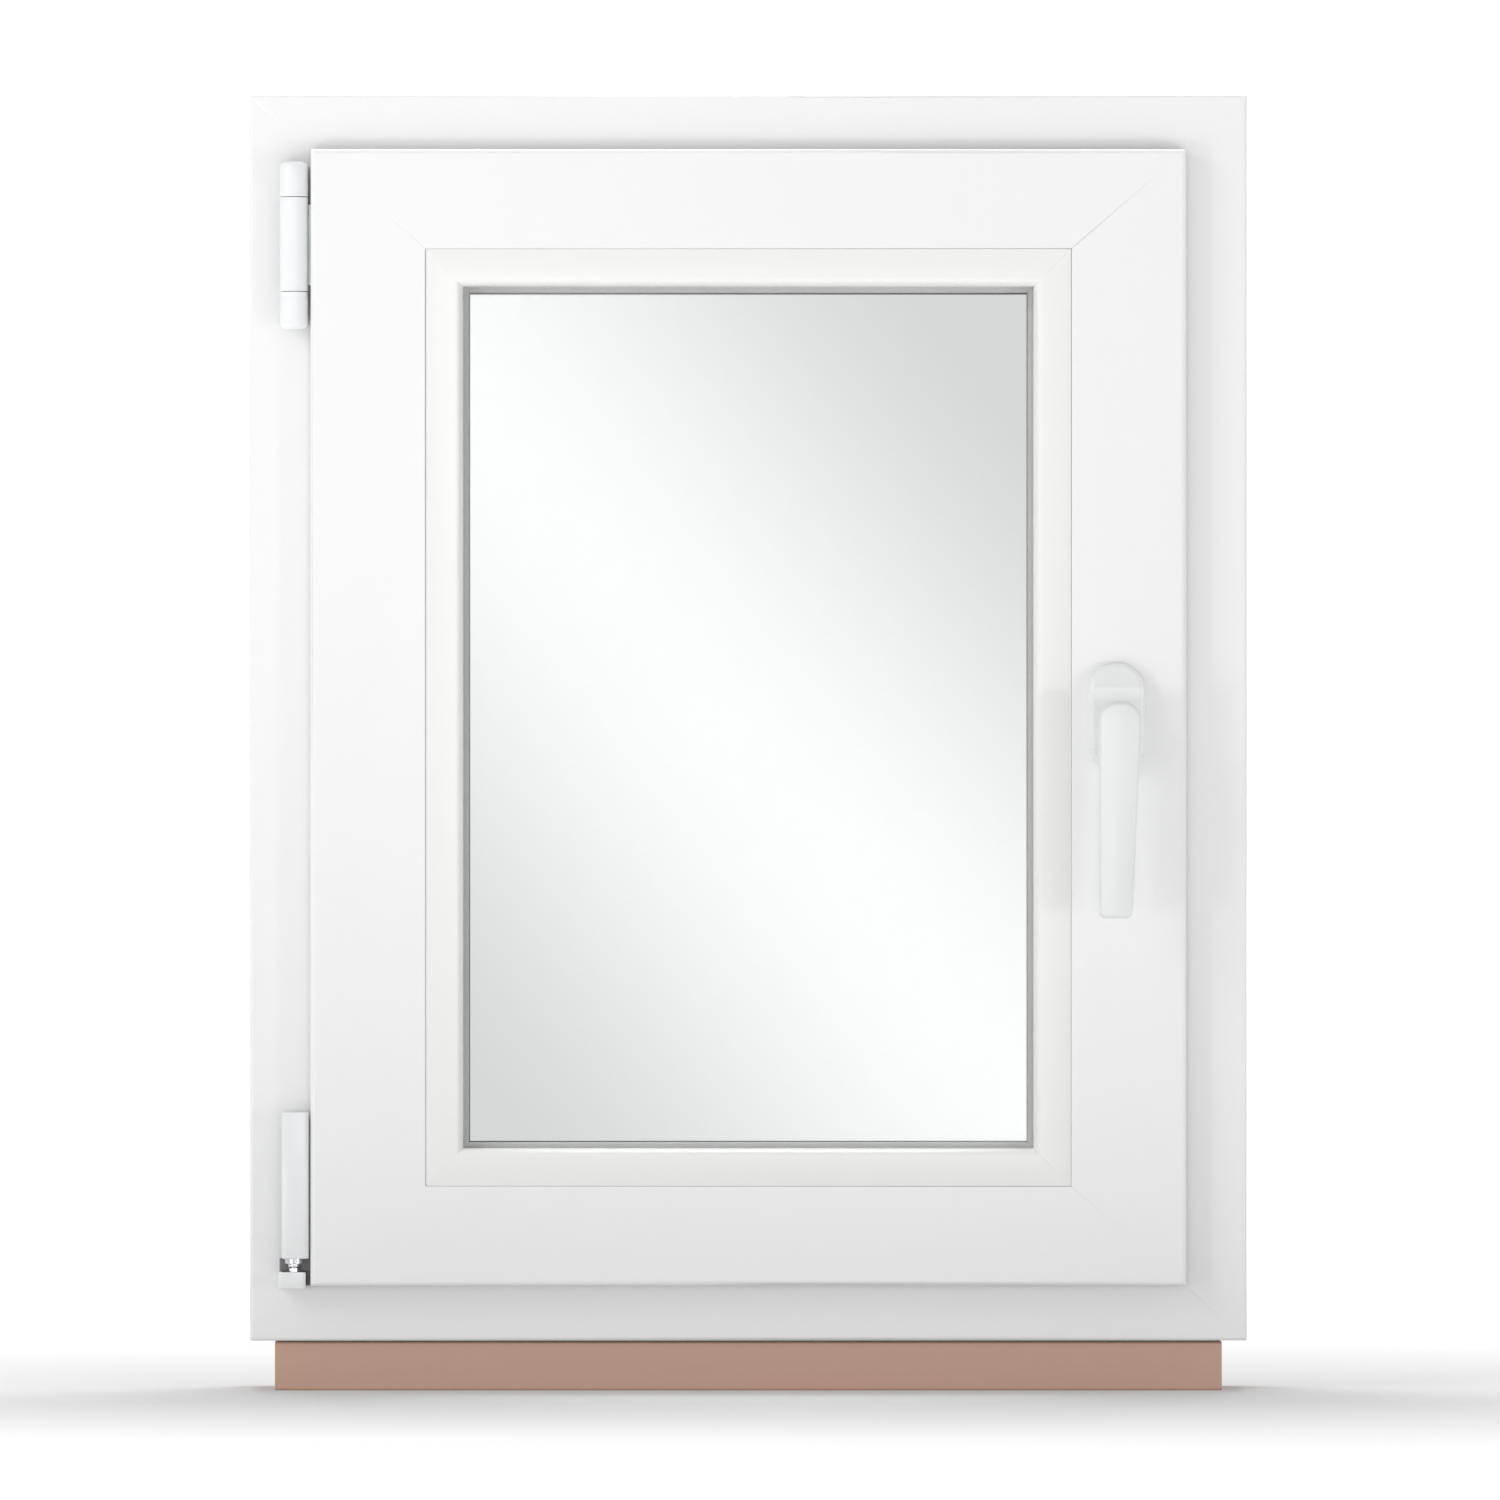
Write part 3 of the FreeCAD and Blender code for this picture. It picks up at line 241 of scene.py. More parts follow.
def makeGlass():
    settings = {"tint": (0.905, 0.915, 0.91), "tintDark": (0.89, 0.90, 0.895), "ior": 1.5}
    material = bpy.data.materials.new("floatGlass")
    material.use_nodes = True
    nodes, links = material.node_tree.nodes, material.node_tree.links
    shader = nodes["Principled BSDF"]
    shader.inputs["Transmission Weight"].default_value = 1.0
    shader.inputs["Roughness"].default_value = 0.0
    shader.inputs["IOR"].default_value = settings["ior"]
    coord = nodes.new("ShaderNodeTexCoord")
    noise = nodes.new("ShaderNodeTexNoise")
    noise.inputs["Scale"].default_value = 3.0
    mix = nodes.new("ShaderNodeMix")
    mix.data_type = "RGBA"
    mix.inputs[6].default_value = (*settings["tintDark"], 1)
    mix.inputs[7].default_value = (*settings["tint"], 1)
    links.new(coord.outputs["Object"], noise.inputs["Vector"])
    links.new(noise.outputs["Fac"], mix.inputs["Factor"])
    links.new(mix.outputs[2], shader.inputs["Base Color"])
    clear = nodes.new("ShaderNodeBsdfTransparent")
    clear.inputs["Color"].default_value = (*settings["tint"], 1)
    path = nodes.new("ShaderNodeLightPath")
    letThrough = nodes.new("ShaderNodeMixShader")
    links.new(path.outputs["Is Shadow Ray"], letThrough.inputs[0])
    links.new(shader.outputs[0], letThrough.inputs[1])
    links.new(clear.outputs[0], letThrough.inputs[2])
    links.new(letThrough.outputs[0], nodes["Material Output"].inputs["Surface"])
    return material


mats["floatGlass"] = makeGlass()
print("finishes made:", len(mats))


# the finish of each material slot, for the CAD nodes that keep their shape
slotFinish = {"upvc_white": "whiteUpvc", "cover_white": "coverWhite", "handle_white": "powderWhite",
              "zinc_steel": "zincSteel", "galvanised": "galvanised", "pivot_steel": "brightSteel",
              "gasket_grey": "greyGasket", "seal_black": "blackSeal", "sill_tan": "tanSill",
              "tape_grey": "sealTapeAndShadowLine", "glass": "floatGlass", "spacer": "millSpacer",
              "block_plastic": "blockPlastic", "zinc_cast": "castZinc"}

for entry in frame["record"]["subparts"]:
    node = frame["nodes"][entry["node"]]
    chosen = mats[slotFinish[entry["material_slot"]]]
    # the corner bearing gets the darker copy of the cast zinc: painted shade
    if entry["node"] == "corner_bearing":
        chosen = mats["shadedCastZinc"]
    for index in range(len(node.material_slots)):
        node.material_slots[index].material = chosen


# the joints of the welded and mitred corners
seam = {"halfWidth": 0.6 * mm, "depth": 0.16 * mm, "onLine": 2 * same, "nearCorner": 1 * mm,
        "frameEdge": 2 * mm, "sashEdge": 3 * mm}


# The line of a mitre: at 45 degrees over the rounded edge, then straight to where both faces end
def mitreRise(across, square, slope):
    if across <= square:
        return across
    return square + (slope[1] - square) / (slope[0] - square) * (across - square)


# Takes a member as the CAD has it and sinks a fine V along the joints at its two ends
def cutSeams(name, node, ringNodes, square, slope, material, body, slot):
    low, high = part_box(ringNodes[0])
    for other in ringNodes[1:]:
        lowOther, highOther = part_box(other)
        low = Vector(map(min, low, lowOther))
        high = Vector(map(max, high, highOther))
    bm = bmesh.new()
    bm.from_mesh(frame["nodes"][node].data)
    bmesh.ops.remove_doubles(bm, verts=bm.verts, dist=same)
    memberLow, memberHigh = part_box(node)
    rate = (slope[1] - square) / (slope[0] - square)
    for top in (False, True):
        for right in (False, True):
            corner = Vector((high.x if right else low.x, 0, high.z if top else low.z))
            inward = Vector((-1 if right else 1, 0, -1 if top else 1))
            # the mitre's direction and the normal that points into this member
            along = Vector((inward.x, 0, inward.z * rate)).normalized()
            normal = Vector((-along.z, 0, along.x))
            middle = (memberLow + memberHigh) / 2
            if (middle - corner).dot(normal) < 0:
                normal = -normal
            start = corner + Vector((inward.x, 0, inward.z)) * square
            offX = min(abs(memberLow.x - corner.x), abs(memberHigh.x - corner.x))
            offZ = min(abs(memberLow.z - corner.z), abs(memberHigh.z - corner.z))
            if max(offX, offZ) >= seam["nearCorner"]:
                continue
            cutAcross(bm, start + normal * seam["halfWidth"], normal)

            def offMitre(vert):
                across = (vert.co.x - corner.x) * inward.x
                return abs((vert.co.z - corner.z) * inward.z - mitreRise(across, square, slope))

            for vert in bm.verts:
                if offMitre(vert) > seam["onLine"]:
                    continue
                away = Vector((0, 0, 0))
                for face in vert.link_faces:
                    if any(offMitre(v) >= touch for v in face.verts):
                        away += face.normal * face.calc_area()
                vert.tag = True
                vert.normal = away.normalized() if away.length > 0 else away
    for vert in bm.verts:
        if vert.tag and vert.normal.length > 0.5:
            vert.co -= vert.normal * seam["depth"]
    place(finishMesh(bm, name, False), material, body, slot, node)


frameRing = ["frame_jamb_hinge", "frame_jamb_lock", "frame_head", "frame_sill"]
sashRing = ["sash_stile_hinge", "sash_stile_lock", "sash_rail_top", "sash_rail_bottom"]
beadRing = ["bead_hinge_side", "bead_lock_side", "bead_top", "bead_bottom"]
headLow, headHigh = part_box("frame_head")
sashLow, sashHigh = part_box("sash_rail_top")
beadLow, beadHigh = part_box("bead_top")
jambFace = sashLow.x - headLow.x
headFace = headHigh.z - sashHigh.z
stileFace = beadLow.x - sashLow.x
railFace = sashHigh.z - beadHigh.z

for nodeName in frameRing:
    cutSeams("welded_" + nodeName, nodeName, frameRing, seam["frameEdge"], (jambFace, headFace),
             mats["whiteUpvc"], "frame", "upvc_white")
for nodeName in sashRing:
    cutSeams("welded_" + nodeName, nodeName, sashRing, seam["sashEdge"], (stileFace, railFace),
             mats["whiteUpvc"], "sash", "upvc_white")


# A bead: a mitred strip with a softly rounded inner edge, and its joints eased to a hairline
def makeBead(node):
    settings = {"outerEdge": 0.45 * mm, "outerSteps": 2, "innerEdge": 4.6 * mm, "innerSteps": 9,
                "mitreEdge": 0.14 * mm}
    low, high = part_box(node)
    ringLow = Vector(map(min, *[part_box(n)[0] for n in beadRing]))
    ringHigh = Vector(map(max, *[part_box(n)[1] for n in beadRing]))
    upright = high.z - low.z > high.x - low.x
    bm = bmesh.new()
    corners = flatOutline(bm)
    for vert in corners:
        x = high.x if vert.co.x > 0 else low.x
        z = high.z if vert.co.y > 0 else low.z
        vert.co = Vector((x, high.y, z))
    face = (high.x - low.x) if upright else (high.z - low.z)
    for vert in corners:
        if upright and abs(vert.co.x - ringLow.x) > touch and abs(vert.co.x - ringHigh.x) > touch:
            vert.co.z += face if vert.co.z < (low.z + high.z) / 2 else -face
        if not upright and abs(vert.co.z - ringLow.z) > touch and abs(vert.co.z - ringHigh.z) > touch:
            vert.co.x += face if vert.co.x < (low.x + high.x) / 2 else -face
    pushOut(bm, low.y - high.y)

    def frontEdges(test):
        return [e for e in bm.edges if all(abs(v.co.y - low.y) < touch and test(v.co) for v in e.verts)]

    def onOuter(co):
        if upright:
            return abs(co.x - ringLow.x) < touch or abs(co.x - ringHigh.x) < touch
        return abs(co.z - ringLow.z) < touch or abs(co.z - ringHigh.z) < touch

    bevelEdges(bm, frontEdges(lambda co: not onOuter(co)), settings["innerEdge"], settings["innerSteps"])
    bevelEdges(bm, frontEdges(onOuter), settings["outerEdge"], settings["outerSteps"])

    def onMitre(co):
        across = min(co.x - ringLow.x, ringHigh.x - co.x)
        rise = min(co.z - ringLow.z, ringHigh.z - co.z)
        return abs(across - rise) < touch

    bm.normal_update()
    ends = [e for e in bm.edges if all(onMitre(v.co) and v.co.y < high.y - touch for v in e.verts)]
    bevelEdges(bm, ends, settings["mitreEdge"], 1)
    place(finishMesh(bm, "mitred_" + node), mats["beadUpvc"], "sash", "upvc_white", node)


# The glazing gaskets: a ring whose lip in sight leans in to the glass
def makeGasket(node):
    settings = {"ring": 11.5 * mm, "lip": 2.4 * mm, "lipSteps": 5}
    low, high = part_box(node)
    half = settings["ring"] / 2
    front, back = (low.y, high.y) if node.endswith("inner") else (high.y, low.y)
    bm = bmesh.new()
    for vert in flatOutline(bm):
        vert.co = Vector((high.x if vert.co.x > 0 else low.x, back, high.z if vert.co.y > 0 else low.z))
    bm.normal_update()
    bmesh.ops.inset_individual(bm, faces=bm.faces[:], thickness=settings["ring"], use_even_offset=True)
    middle = max(bm.faces, key=lambda f: f.calc_area())
    bmesh.ops.delete(bm, geom=[middle], context="FACES_ONLY")
    pushOut(bm, front - back)
    edge = [e for e in bm.edges if all(abs(v.co.y - front) < same and low.x + half < v.co.x < high.x - half
                                       and low.z + half < v.co.z < high.z - half for v in e.verts)]
    bevelEdges(bm, edge, settings["lip"], settings["lipSteps"])
    place(finishMesh(bm, "lipped_" + node), mats["greyGasket"], "sash", "gasket_grey", node)


for nodeName in beadRing:
    makeBead(nodeName)
for nodeName in ("glazing_gasket_inner", "glazing_gasket_outer"):
    makeGasket(nodeName)
print("welds, beads and gaskets made")


lever = {"thick": 13 * mm, "tipRight": 8.5 * mm, "headRound": 11 * mm, "headSteps": 10, "tipRound": 4 * mm,
         "tipSteps": 5, "chamfer": 2.2 * mm, "chamferSteps": 3, "backEdge": 1.2 * mm, "backSteps": 2,
         "bladeStart": 8 * mm, "cuts": 13, "cutStep": 8 * mm, "bow": 1.2 * mm, "tipThin": 2.0 * mm,
         "neckRadius": 8.9 * mm, "neckSides": 64, "neckInLever": 0.6, "neckInRosette": 3 * mm}


def makeLever():
    low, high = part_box("handle_lever")
    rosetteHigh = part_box("rosette_cover")[1]
    spindleLow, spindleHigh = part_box("handle_spindle")
    axisX = (spindleLow.x + spindleHigh.x) / 2
    axisZ = (spindleLow.z + spindleHigh.z) / 2
    front, thick = low.y, lever["thick"]
    bm = bmesh.new()
    corners = sorted(flatOutline(bm), key=lambda v: (round(v.co.y, 3), round(v.co.x, 3)))
    places = [(low.x, low.z), (axisX + lever["tipRight"], low.z), (low.x, high.z), (high.x, high.z)]
    for vert, (x, z) in zip(corners, places):
        vert.co = Vector((x, front + thick, z))
    # round the head of the lever and its tip in the flat outline
    head = [v for v in bm.verts if v.co.z > axisZ]
    bmesh.ops.bevel(bm, geom=head, offset=lever["headRound"], offset_type="OFFSET", segments=lever["headSteps"],
                    profile=0.5, affect="VERTICES", material=-1)
    tip = [v for v in bm.verts if v.co.z < low.z + 1 * mm]
    bmesh.ops.bevel(bm, geom=tip, offset=lever["tipRound"], offset_type="OFFSET", segments=lever["tipSteps"],
                    profile=0.5, affect="VERTICES", material=-1)
    pushOut(bm, -thick)
    rim = [e for e in bm.edges if all(abs(v.co.y - front) < same for v in e.verts)]
    bevelEdges(bm, rim, lever["chamfer"], lever["chamferSteps"])
    rim = [e for e in bm.edges if all(abs(v.co.y - front - thick) < same for v in e.verts)
           and len(e.link_faces) == 2 and e.calc_face_angle() > 0.5]
    bevelEdges(bm, rim, lever["backEdge"], lever["backSteps"])
    # cross cuts, so that the blade can bend a little away from the sash towards its tip
    bladeTop = axisZ - lever["bladeStart"]
    for step in range(1, lever["cuts"] + 1):
        cutAcross(bm, (0, 0, bladeTop - step * lever["cutStep"]), (0, 0, 1))
    reach = axisZ - low.z
    for vert in bm.verts:
        along = max(0.0, (bladeTop - vert.co.z) / reach)
        vert.co.y += lever["bow"] * math.sin(along * math.pi)
        if vert.co.y > front + thick / 2:
            vert.co.y -= lever["tipThin"] * along
    neck = bmesh.ops.create_cone(bm, cap_ends=True, segments=lever["neckSides"], radius1=lever["neckRadius"],
                                 radius2=lever["neckRadius"], depth=1)
    neckStart = front + thick * lever["neckInLever"]
    neckEnd = rosetteHigh.y - lever["neckInRosette"]
    turn = Matrix.Rotation(math.radians(90), 4, "X")
    size = Matrix.Diagonal((1, 1, neckEnd - neckStart, 1))
    put = Matrix.Translation((axisX, (neckStart + neckEnd) / 2, axisZ))
    bmesh.ops.transform(bm, matrix=put @ turn @ size, verts=neck["verts"])
    # the lever takes the darker copy of the powder coat: painted shade
    place(finishMesh(bm, "leverHandle"), mats["shadedLeverWhite"], "handle", "handle_white", "handle_lever")


def makeRosette():
    low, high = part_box("rosette_cover")
    settings = {"sides": 96, "bevel": 2.4 * mm, "bevelSteps": 2, "slopeFrom": 15.0 * mm, "slopeBack": 3.6 * mm,
                "collar": 9.8 * mm, "collarSides": 64, "collarProud": 0.35 * mm, "collarDepth": 1.2 * mm,
                "collarEdge": 0.35 * mm}
    width, height, depth = high.x - low.x, high.z - low.z, high.y - low.y
    centre = (low + high) / 2
    bm = bmesh.new()
    ring = bmesh.ops.create_circle(bm, segments=settings["sides"], radius=width / 2, cap_ends=True)["verts"]
    shift = height / 2 - width / 2
    for vert in ring:
        lift = shift if vert.co.y > same else -shift if vert.co.y < -same else 0.0
        vert.co = Vector((centre.x + vert.co.x, high.y, centre.z + vert.co.y + lift))
    pushOut(bm, -depth)
    rim = [e for e in bm.edges if all(abs(v.co.y - low.y) < same for v in e.verts)]
    bevelEdges(bm, rim, settings["bevel"], settings["bevelSteps"])
    # both ends of the face fall back in a flat slope
    for side, end in ((1, high.z), (-1, low.z)):
        start = end - side * settings["slopeFrom"]
        cutAcross(bm, (0, 0, start), (0, 0, 1), 0.1 * same)
        for vert in bm.verts:
            beyond = (vert.co.z - start) * side
            if beyond > 0 and vert.co.y < high.y - same:
                vert.co.y += settings["slopeBack"] * beyond / settings["slopeFrom"]
    place(finishMesh(bm, "rosette", False), mats["powderWhite"], "sash", "handle_white", "rosette_cover")
    bm = bmesh.new()
    put = Matrix.Translation((centre.x, low.y - settings["collarProud"], centre.z))
    bmesh.ops.create_cone(bm, cap_ends=True, segments=settings["collarSides"], radius1=settings["collar"],
                          radius2=settings["collar"], depth=settings["collarDepth"],
                          matrix=put @ Matrix.Rotation(math.radians(90), 4, "X"))
    bevelEdges(bm, [e for e in bm.edges if e.calc_face_angle(0) > 0.5], settings["collarEdge"], 2)
    place(finishMesh(bm, "neckCollar"), mats["powderWhite"], "sash", "handle_white")


makeLever()
makeRosette()
print("handle made")


# A cover is a shell spun part of the way round the pin, from an outline of radius and height
def spinCover(name, body, node, outline):
    settings = {"sweep": 204, "steps": 48}
    low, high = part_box(node)
    pinLow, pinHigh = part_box("scissor_pin")
    centre = Vector(((pinLow.x + pinHigh.x) / 2, (pinLow.y + pinHigh.y) / 2, 0))
    bm = bmesh.new()
    verts = [bm.verts.new((centre.x, centre.y - radius, z)) for radius, z in outline(low.z, high.z)]
    bmesh.ops.contextual_create(bm, geom=verts)
    bmesh.ops.rotate(bm, verts=bm.verts, cent=centre,
                     matrix=Matrix.Rotation(math.radians(-settings["sweep"] / 2), 3, "Z"))
    bmesh.ops.spin(bm, geom=bm.verts[:] + bm.edges[:] + bm.faces[:], cent=centre, axis=(0, 0, 1),
                   angle=math.radians(settings["sweep"]), steps=settings["steps"], use_duplicate=False)
    place(finishMesh(bm, name), mats["coverWhite"], body, "cover_white", node)


cover = {"radius": 8.5 * mm, "bore": 6.5 * mm, "wall": 2.0 * mm, "edge": 0.35 * mm, "dome": 3.4 * mm,
         "domeSteps": 7, "groove": 3.6 * mm}


# The rounded shoulder of a closed end, from the side up to the flat of the top
def shoulder(level, towards):
    points = []
    for step in range(cover["domeSteps"] + 1):
        angle = math.pi / 2 * step / cover["domeSteps"]
        points.append((cover["radius"] - cover["dome"] * (1 - math.cos(angle)),
                       level - towards * cover["dome"] * (1 - math.sin(angle))))
    return points


def upperOutline(low, high):
    return [(cover["bore"], low), (cover["radius"] - cover["edge"], low), (cover["radius"], low + cover["edge"]),
            *shoulder(high, 1), (0, high), (0, high - cover["wall"]), (cover["bore"], high - cover["wall"])]


def middleOutline(low, high):
    edge = cover["edge"]
    return [(cover["bore"], low), (cover["radius"] - edge, low), (cover["radius"], low + edge),
            (cover["radius"], high - edge), (cover["radius"] - edge, high), (cover["bore"], high)]


def lowerOutline(low, high):
    edge = cover["edge"]
    ring = high - cover["groove"]
    return [(cover["bore"], high), (cover["radius"] - edge, high), (cover["radius"], high - edge),
            (cover["radius"], ring + edge), (cover["radius"] - edge, ring), (cover["radius"], ring - edge),
            *shoulder(low, -1), (0, low), (0, low + cover["wall"]), (cover["bore"], low + cover["wall"])]


spinCover("bearingCoverUpper", "frame", "bearing_cover_upper", upperOutline)
spinCover("stayArmCover", "stay_arm", "stay_arm_cover", middleOutline)
spinCover("bearingCoverLower", "frame", "bearing_cover_lower", lowerOutline)


# A moulded cover of the corner hinge: upright edges rounded towards the room, ends eased
def makeHingeCap(name, node, body, side, sideSteps, ends):
    low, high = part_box(node)
    bm = bmesh.new()
    addBox(bm, low, high)
    upright = [e for e in bm.edges if abs(e.verts[0].co.z - e.verts[1].co.z) > 1 * mm and
               e.verts[0].co.y < low.y + 1 * mm]
    bevelEdges(bm, upright, side, sideSteps)
    level = [e for e in bm.edges if abs(e.verts[0].co.z - e.verts[1].co.z) < same and e.calc_face_angle(0) > 0.5]
    bevelEdges(bm, level, ends, 2)
    place(finishMesh(bm, name), mats["coverWhite"], body, "cover_white", node)


makeHingeCap("cornerHingeCover", "corner_hinge_cover", "sash", 3.0 * mm, 5, 0.9 * mm)
makeHingeCap("cornerBearingCover", "corner_bearing_cover", "frame", 2.2 * mm, 4, 0.7 * mm)
print("hinges made")


centreZ = 0.384    # half the height of what the camera sees


# How bright a ray finds the plain surroundings: seen straight, seen through the glass, or as light
def addSeenStrength(nodes, links, direct, through, light):
    path = nodes.new("ShaderNodeLightPath")
    straight = addMath(nodes, "MULTIPLY_ADD")
    straight.inputs[1].default_value = direct - light
    straight.inputs[2].default_value = light
    links.new(path.outputs["Is Camera Ray"], straight.inputs[0])
    passed = addMath(nodes, "MULTIPLY_ADD")
    passed.inputs[1].default_value = through - light
    links.new(path.outputs["Is Transmission Ray"], passed.inputs[0])
    links.new(straight.outputs[0], passed.inputs[2])
    return passed.outputs[0]


# A pale floor that brightens into the backdrop. A shadow is painted into its colour round the window's foot, and
# its glow is weak near the window and strong far off: painted light that leaves the floor darker near the window
def makeFloor():
    settings = {"size": 30.0, "colour": 0.88, "foot": (0.20, 0.045), "paintedFootShadow": 0.54, "footReach": 0.75,
                "glowNear": 0.14, "glowFar": 0.80, "near": 0.6, "far": 2.4, "through": 0.88, "light": 0.8}
    bm = bmesh.new()
    bmesh.ops.create_grid(bm, x_segments=1, y_segments=1, size=settings["size"])
    floor = finishMesh(bm, "studioFloor", False)
    material = bpy.data.materials.new("paleFloor")
    material.use_nodes = True
    nodes, links = material.node_tree.nodes, material.node_tree.links
    shader = nodes["Principled BSDF"]
    shader.inputs["Roughness"].default_value = 0.9
    shader.inputs["Specular IOR Level"].default_value = 0.1
    shader.inputs["Emission Color"].default_value = (1, 1, 1, 1)
    coord = nodes.new("ShaderNodeTexCoord")
    away = addMath(nodes, "LENGTH", "ShaderNodeVectorMath")
    # the glow is weaker near the window than far off: painted shade near the window, painted light far off that
    # blends the floor into the backdrop
    glow = nodes.new("ShaderNodeMapRange")
    glow.interpolation_type = "SMOOTHSTEP"
    glow.inputs["From Min"].default_value = settings["near"]
    glow.inputs["From Max"].default_value = settings["far"]
    glow.inputs["To Min"].default_value = settings["glowNear"]
    glow.inputs["To Max"].default_value = settings["glowFar"]
    links.new(coord.outputs["Object"], away.inputs[0])
    links.new(away.outputs["Value"], glow.inputs["Value"])
    # how far a point lies outside the foot of the window, for the painted shadow where it stands
    size = addMath(nodes, "ABSOLUTE", "ShaderNodeVectorMath")
    outside = addMath(nodes, "SUBTRACT", "ShaderNodeVectorMath")
    outside.inputs[1].default_value = (*settings["foot"], 0)
    clamp = addMath(nodes, "MAXIMUM", "ShaderNodeVectorMath")
    clamp.inputs[1].default_value = (0, 0, 0)
    reach = addMath(nodes, "LENGTH", "ShaderNodeVectorMath")
    # the floor's colour darkens towards the window's foot: a painted shadow
    paintedShadow = nodes.new("ShaderNodeMapRange")
    paintedShadow.inputs["From Max"].default_value = settings["footReach"]
    paintedShadow.inputs["To Min"].default_value = settings["paintedFootShadow"]
    paintedShadow.inputs["To Max"].default_value = settings["colour"]
    tone = nodes.new("ShaderNodeCombineColor")
    links.new(coord.outputs["Object"], size.inputs[0])
    links.new(size.outputs[0], outside.inputs[0])
    links.new(outside.outputs[0], clamp.inputs[0])
    links.new(clamp.outputs[0], reach.inputs[0])
    links.new(reach.outputs["Value"], paintedShadow.inputs["Value"])
    for channel in ("Red", "Green", "Blue"):
        links.new(paintedShadow.outputs["Result"], tone.inputs[channel])
    links.new(tone.outputs[0], shader.inputs["Base Color"])
    strength = addMath(nodes, "MULTIPLY")
    links.new(glow.outputs["Result"], strength.inputs[0])
    path = nodes.new("ShaderNodeLightPath")
    straight = addMath(nodes, "MULTIPLY_ADD")
    straight.inputs[1].default_value = 1 - settings["light"]
    straight.inputs[2].default_value = settings["light"]
    links.new(path.outputs["Is Camera Ray"], straight.inputs[0])
    links.new(straight.outputs[0], strength.inputs[1])
    links.new(strength.outputs[0], shader.inputs["Emission Strength"])
    plain = nodes.new("ShaderNodeEmission")
    plain.inputs["Strength"].default_value = settings["through"]
    mix = nodes.new("ShaderNodeMixShader")
    links.new(path.outputs["Is Transmission Ray"], mix.inputs[0])
    links.new(shader.outputs[0], mix.inputs[1])
    links.new(plain.outputs[0], mix.inputs[2])
    links.new(mix.outputs[0], nodes["Material Output"].inputs["Surface"])
    floor.data.materials.append(material)


def makeWorld():
    settings = {"seen": 1.02, "through": 0.88, "light": 0.53}
    world = bpy.data.worlds.new("studioWorld")
    bpy.context.scene.world = world
    world.use_nodes = True
    nodes, links = world.node_tree.nodes, world.node_tree.links
    background = nodes["Background"]
    background.inputs["Color"].default_value = (1, 1, 1, 1)
    strength = addSeenStrength(nodes, links, settings["seen"], settings["through"], settings["light"])
    links.new(strength, background.inputs["Strength"])


def addLight(name, location, target, size, power):
    data = bpy.data.lights.new(name, "AREA")
    data.shape = "RECTANGLE"
    data.size, data.size_y = size
    data.energy = power
    light = bpy.data.objects.new(name, data)
    light.location = location
    light.rotation_euler = (Vector(target) - Vector(location)).to_track_quat("-Z", "Y").to_euler()
    bpy.context.scene.collection.objects.link(light)


def makeLights():
    aim = (0.1, 0, 0.42)
    addLight("leftLamp", (-1.20, -1.55, 0.08), aim, (0.30, 0.30), 4.15)
    addLight("rightLamp", (1.60, -1.55, 0.08), aim, (0.30, 0.30), 5.45)
    addLight("keySoftbox", (-1.9, -1.5, 1.6), (0.1, 0, 0.5), (1.2, 1.2), 13.8)
    addLight("overheadSoftbox", (0, 0.75, 2.6), (0, 0.1, 0), (1.5, 0.9), 39.0)


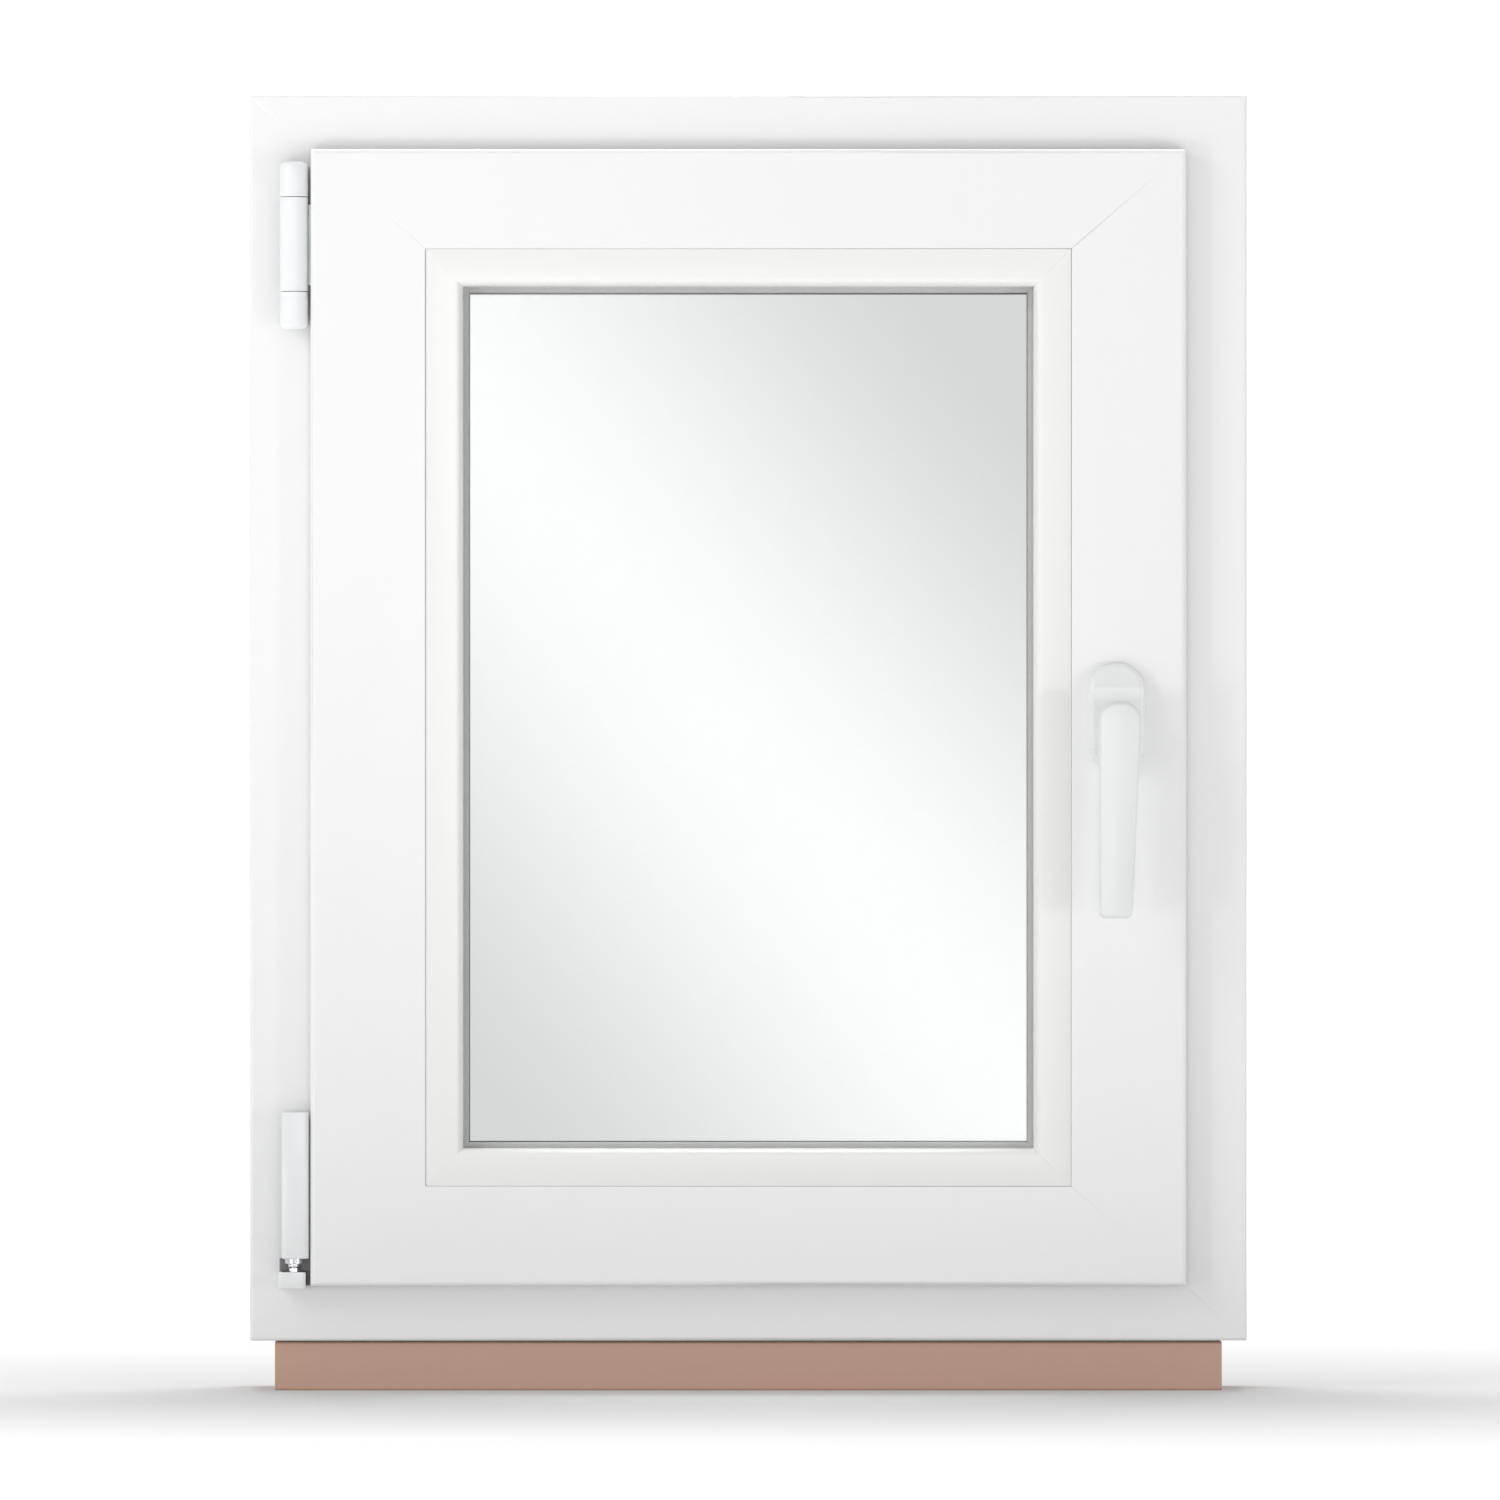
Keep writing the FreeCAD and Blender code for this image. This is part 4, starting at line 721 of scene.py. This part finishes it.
# A soft diagonal glow in front of the window, seen only as a gloss on the glass
def makeGlossPanel():
    settings = {"distance": 1.2, "width": 0.70, "height": 0.74, "peak": 3.0, "base": 0.5, "fall": 0.32,
                "lean": (0.779, 0, 0.627)}
    bm = bmesh.new()
    turn = Matrix.Translation((0, -settings["distance"], centreZ)) @ Matrix.Rotation(math.radians(90), 4, "X")
    size = Matrix.Diagonal((settings["width"], settings["height"], 1, 1))
    bmesh.ops.create_grid(bm, x_segments=1, y_segments=1, size=0.5, matrix=turn @ size)
    panel = finishMesh(bm, "glossPanel", False)
    material = bpy.data.materials.new("panelGlow")
    material.use_nodes = True
    nodes, links = material.node_tree.nodes, material.node_tree.links
    nodes.remove(nodes["Principled BSDF"])
    coord = nodes.new("ShaderNodeTexCoord")
    centre = addMath(nodes, "SUBTRACT", "ShaderNodeVectorMath")
    centre.inputs[1].default_value = (0, 0, centreZ)
    across = addMath(nodes, "DOT_PRODUCT", "ShaderNodeVectorMath")
    across.inputs[1].default_value = settings["lean"]
    away = addMath(nodes, "ABSOLUTE")
    ramp = nodes.new("ShaderNodeMapRange")
    ramp.interpolation_type = "SMOOTHSTEP"
    ramp.inputs["From Min"].default_value = 0.0
    ramp.inputs["From Max"].default_value = settings["fall"]
    ramp.inputs["To Min"].default_value = settings["peak"]
    ramp.inputs["To Max"].default_value = settings["base"]
    glow = nodes.new("ShaderNodeEmission")
    links.new(coord.outputs["Object"], centre.inputs[0])
    links.new(centre.outputs[0], across.inputs[0])
    links.new(across.outputs["Value"], away.inputs[0])
    links.new(away.outputs[0], ramp.inputs["Value"])
    links.new(ramp.outputs["Result"], glow.inputs["Strength"])
    links.new(glow.outputs[0], nodes["Material Output"].inputs["Surface"])
    panel.data.materials.append(material)
    panel.visible_camera = False
    panel.visible_diffuse = False
    panel.visible_shadow = False


def makeCamera():
    settings = {"distance": 8.0, "seenWidth": 0.9005, "sideways": 0.001, "height": 0.3855, "sensor": 36}
    data = bpy.data.cameras.new("camera")
    camera = bpy.data.objects.new("camera", data)
    bpy.context.scene.collection.objects.link(camera)
    data.sensor_width = settings["sensor"]
    data.lens = settings["sensor"] * settings["distance"] / settings["seenWidth"]
    data.clip_end = 100
    low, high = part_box("sash_rail_top")
    camera.location = (settings["sideways"], low.y - settings["distance"], settings["height"])
    camera.rotation_euler = (math.radians(90), 0, 0)
    bpy.context.scene.camera = camera


makeFloor()
makeWorld()
makeLights()
makeGlossPanel()
makeCamera()
bpy.context.scene.view_settings.view_transform = "Standard"
print("studio made")
